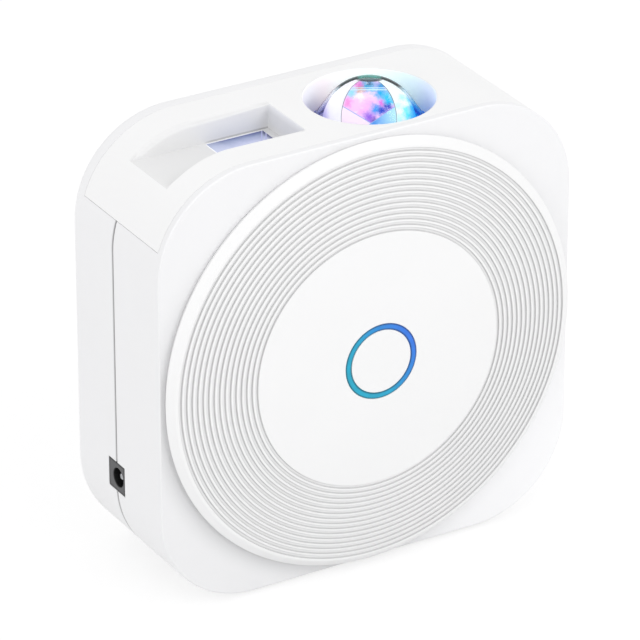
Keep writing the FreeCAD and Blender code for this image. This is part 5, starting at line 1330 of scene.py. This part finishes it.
def well_glow(material):
    """Coloured light of the dome on the wall of its well."""
    tree = material.node_tree
    centred = object_place(tree) / MM - (WELL_X, OPTICS_Y, 0)
    x, y, z = centred.parts()
    glow = y.step("ARCTAN2", x).scaled(math.radians(-40.0), math.radians(180.0)).ramp([
        (0.0, rgb(210, 200, 250)), (0.18, rgb(190, 205, 255)), (0.27, rgb(176, 232, 255)),
        (0.36, rgb(190, 244, 250)), (0.46, rgb(206, 246, 240)), (0.56, rgb(240, 246, 244)),
        (0.64, rgb(255, 214, 230)), (0.74, rgb(225, 222, 226)), (1.0, rgb(225, 225, 228)),
    ])
    wall = (centred * (1, 1, 0)).length().scaled(WELL_RADIUS + 0.1, WELL_RADIUS + 0.4, 1.0, 0.0)
    mask = wall * (z < TOP_Z - 0.25) * z.scaled(WELL_FLOOR_Z, TOP_Z - 1.0, 0.55, 1.0)
    shader = next(made for made in tree.nodes if made.type == "BSDF_PRINCIPLED")
    feed(shader, {"Emission Color": glow.gain(mask), "Emission Strength": WELL_GLOW})
    return material


WHITE_CASING = rgb(242, 242, 243)
WHITE_COVER = rgb(247, 247, 247)
WHITE_DISC = rgb(243, 243, 243)

shell_finish = moulded_material("white casing", WHITE_CASING, 0.34, tint=casing_shade_and_light)
cover_finish = well_glow(moulded_material("white cover", WHITE_COVER, 0.36, tint=recess_shade))
disc_finish = moulded_material("white disc", WHITE_DISC, 0.38, tint=groove_shade)
inlet_finish = moulded_material("inlet plastic", rgb(80, 80, 82), 0.5, 0.05, tint=inlet_shade)
rubber_finish = moulded_material("foot rubber", rgb(58, 58, 60), 0.75, 0.08, 0.0003, 0.3, 0.00005)

front_shell(shell_finish)
rear_shell(shell_finish)
top_cover(cover_finish)
front_disc(disc_finish)
ring_light_guide(ring_material())
button_cap(disc_finish)
dome_lens(bell_material())
petal_lens(nebula_material())
laser_window(window_material())
inlet_housing(inlet_finish)
rubber_feet(rubber_finish)

# ---------------- finishes of the CAD nodes
CAD_FINISHES = {
    "black_plastic": moulded_material("dark plastic", rgb(40, 41, 46), 0.45, 0.06),
    "grey_plastic": moulded_material("grey plastic", rgb(120, 122, 126), 0.5, 0.04),
    "acetal": moulded_material("natural acetal", rgb(232, 228, 214), 0.32, 0.03),
    "chip": moulded_material("moulded chip", rgb(36, 37, 40), 0.55, 0.08, 0.0002, 0.2),
    "rubber": rubber_finish,
    "lead_jacket": moulded_material("lead jacket", rgb(56, 58, 64), 0.55, 0.06),
    "steel": metal_material("plated steel", rgb(196, 198, 202), 0.26),
    "shield": metal_material("tinned shield", rgb(205, 207, 210), 0.32),
    "aluminium": metal_material("drawn aluminium", rgb(204, 206, 210), 0.34),
    "brass": metal_material("turned brass", rgb(214, 178, 104), 0.26, (0.06, 1.0, 1.0)),
    "circuit_board": board_material(),
    "led": led_material(),
    "optic_glass": glass_material("optic glass", rgb(232, 244, 250)),
}
for part in frame["record"]["subparts"]:
    slot = part["material_slot"]
    shown = frame["nodes"].get(part["node"])
    if shown is None or slot not in CAD_FINISHES:
        continue
    shown.data.materials.clear()
    shown.data.materials.append(CAD_FINISHES[slot])

# ---------------- floor, light and camera
FLOOR_SIZE = 6.0
FLOOR_LIT = (0.8, 0.8, 0.8, 1)
FLOOR_SHOWN = (0.3, 0.3, 0.3, 1)
FLOOR_GLOW = 0.74
SURROUNDING_LIGHT = (0.995, 0.995, 1.0, 1)
SURROUNDING_STRENGTH = 0.85
LIGHT_TARGET = Vector((0, 0, 0.06))
# Places in metres, sizes in metres and powers in watts.
LIGHTS = (
    ("front light", (0.35, -1.85, 0.75), 1.2, 5.2),
    ("key light", (1.0, -1.3, 1.5), 0.7, 5.2),
    ("side light", (-1.9, -0.5, 0.7), 1.2, 6.2),
)


def show_by_ray(tree, output, unseen, seen):
    """Puts one shader on what lights the part, and one on what the camera, a gloss or a clear part shows."""
    path = tree.nodes.new("ShaderNodeLightPath")
    camera_ray, glossy_ray, clear_ray = (
        Value(tree, path.outputs[name]) for name in ("Is Camera Ray", "Is Glossy Ray", "Is Transmission Ray"))
    mixed = node(tree, "ShaderNodeMixShader", {0: camera_ray.max(glossy_ray.max(clear_ray))})
    for place, shader in ((1, unseen), (2, seen)):
        tree.links.new(shader.outputs[0], mixed.inputs[place])
    tree.links.new(mixed.outputs[0], output.inputs["Surface"])


def floor():
    bpy.ops.object.select_all(action="DESELECT")
    bpy.ops.mesh.primitive_plane_add(size=FLOOR_SIZE, location=(0, 0, 0))
    ground = bpy.context.object
    ground.name = "floor"
    material = bpy.data.materials.new("pale floor")
    material.use_nodes = True
    tree = material.node_tree
    tree.nodes.clear()
    plain = node(tree, "ShaderNodeBsdfDiffuse", {"Color": FLOOR_LIT})
    faint = node(tree, "ShaderNodeBsdfDiffuse", {"Color": FLOOR_SHOWN})
    white = node(tree, "ShaderNodeEmission", {"Color": WHITE, "Strength": FLOOR_GLOW})
    shown = tree.nodes.new("ShaderNodeAddShader")
    for place, shader in enumerate((faint, white)):
        tree.links.new(shader.outputs[0], shown.inputs[place])
    show_by_ray(tree, tree.nodes.new("ShaderNodeOutputMaterial"), plain, shown)
    ground.data.materials.append(material)


def surroundings():
    world = bpy.data.worlds.new("studio")
    bpy.context.scene.world = world
    world.use_nodes = True
    tree = world.node_tree
    tree.nodes.clear()
    lighting = node(tree, "ShaderNodeBackground", {
        "Color": SURROUNDING_LIGHT, "Strength": SURROUNDING_STRENGTH,
    })
    backdrop = node(tree, "ShaderNodeBackground", {"Color": WHITE, "Strength": 1.0})
    show_by_ray(tree, tree.nodes.new("ShaderNodeOutputWorld"), lighting, backdrop)


def area_light(name, place, size, power):
    place = Vector(place)
    bpy.ops.object.light_add(type="AREA", location=place)
    lamp = bpy.context.object
    lamp.name = name
    lamp.data.shape = "DISK"
    lamp.data.size = size
    lamp.data.energy = power
    lamp.rotation_euler = (LIGHT_TARGET - place).to_track_quat("-Z", "Y").to_euler()


def camera():
    bpy.ops.object.camera_add()
    taken = bpy.context.object
    taken.name = "camera"
    aim = Vector((0, APEX_Y, MID_Z)) - VIEW_RIGHT * AIM_LEFT + VIEW_UP * AIM_UP
    place = (aim - VIEW_FORWARD * CAMERA_DISTANCE) * MM
    turn = Matrix((VIEW_RIGHT, VIEW_UP, -VIEW_FORWARD)).transposed().to_4x4()
    taken.matrix_world = Matrix.Translation(place) @ turn
    taken.data.lens = CAMERA_LENS
    taken.data.sensor_width = 36.0
    taken.data.clip_start = 0.05
    taken.data.clip_end = 20.0
    bpy.context.scene.camera = taken


floor()
surroundings()
for light in LIGHTS:
    area_light(*light)
camera()
bpy.context.scene.view_settings.view_transform = "Standard"
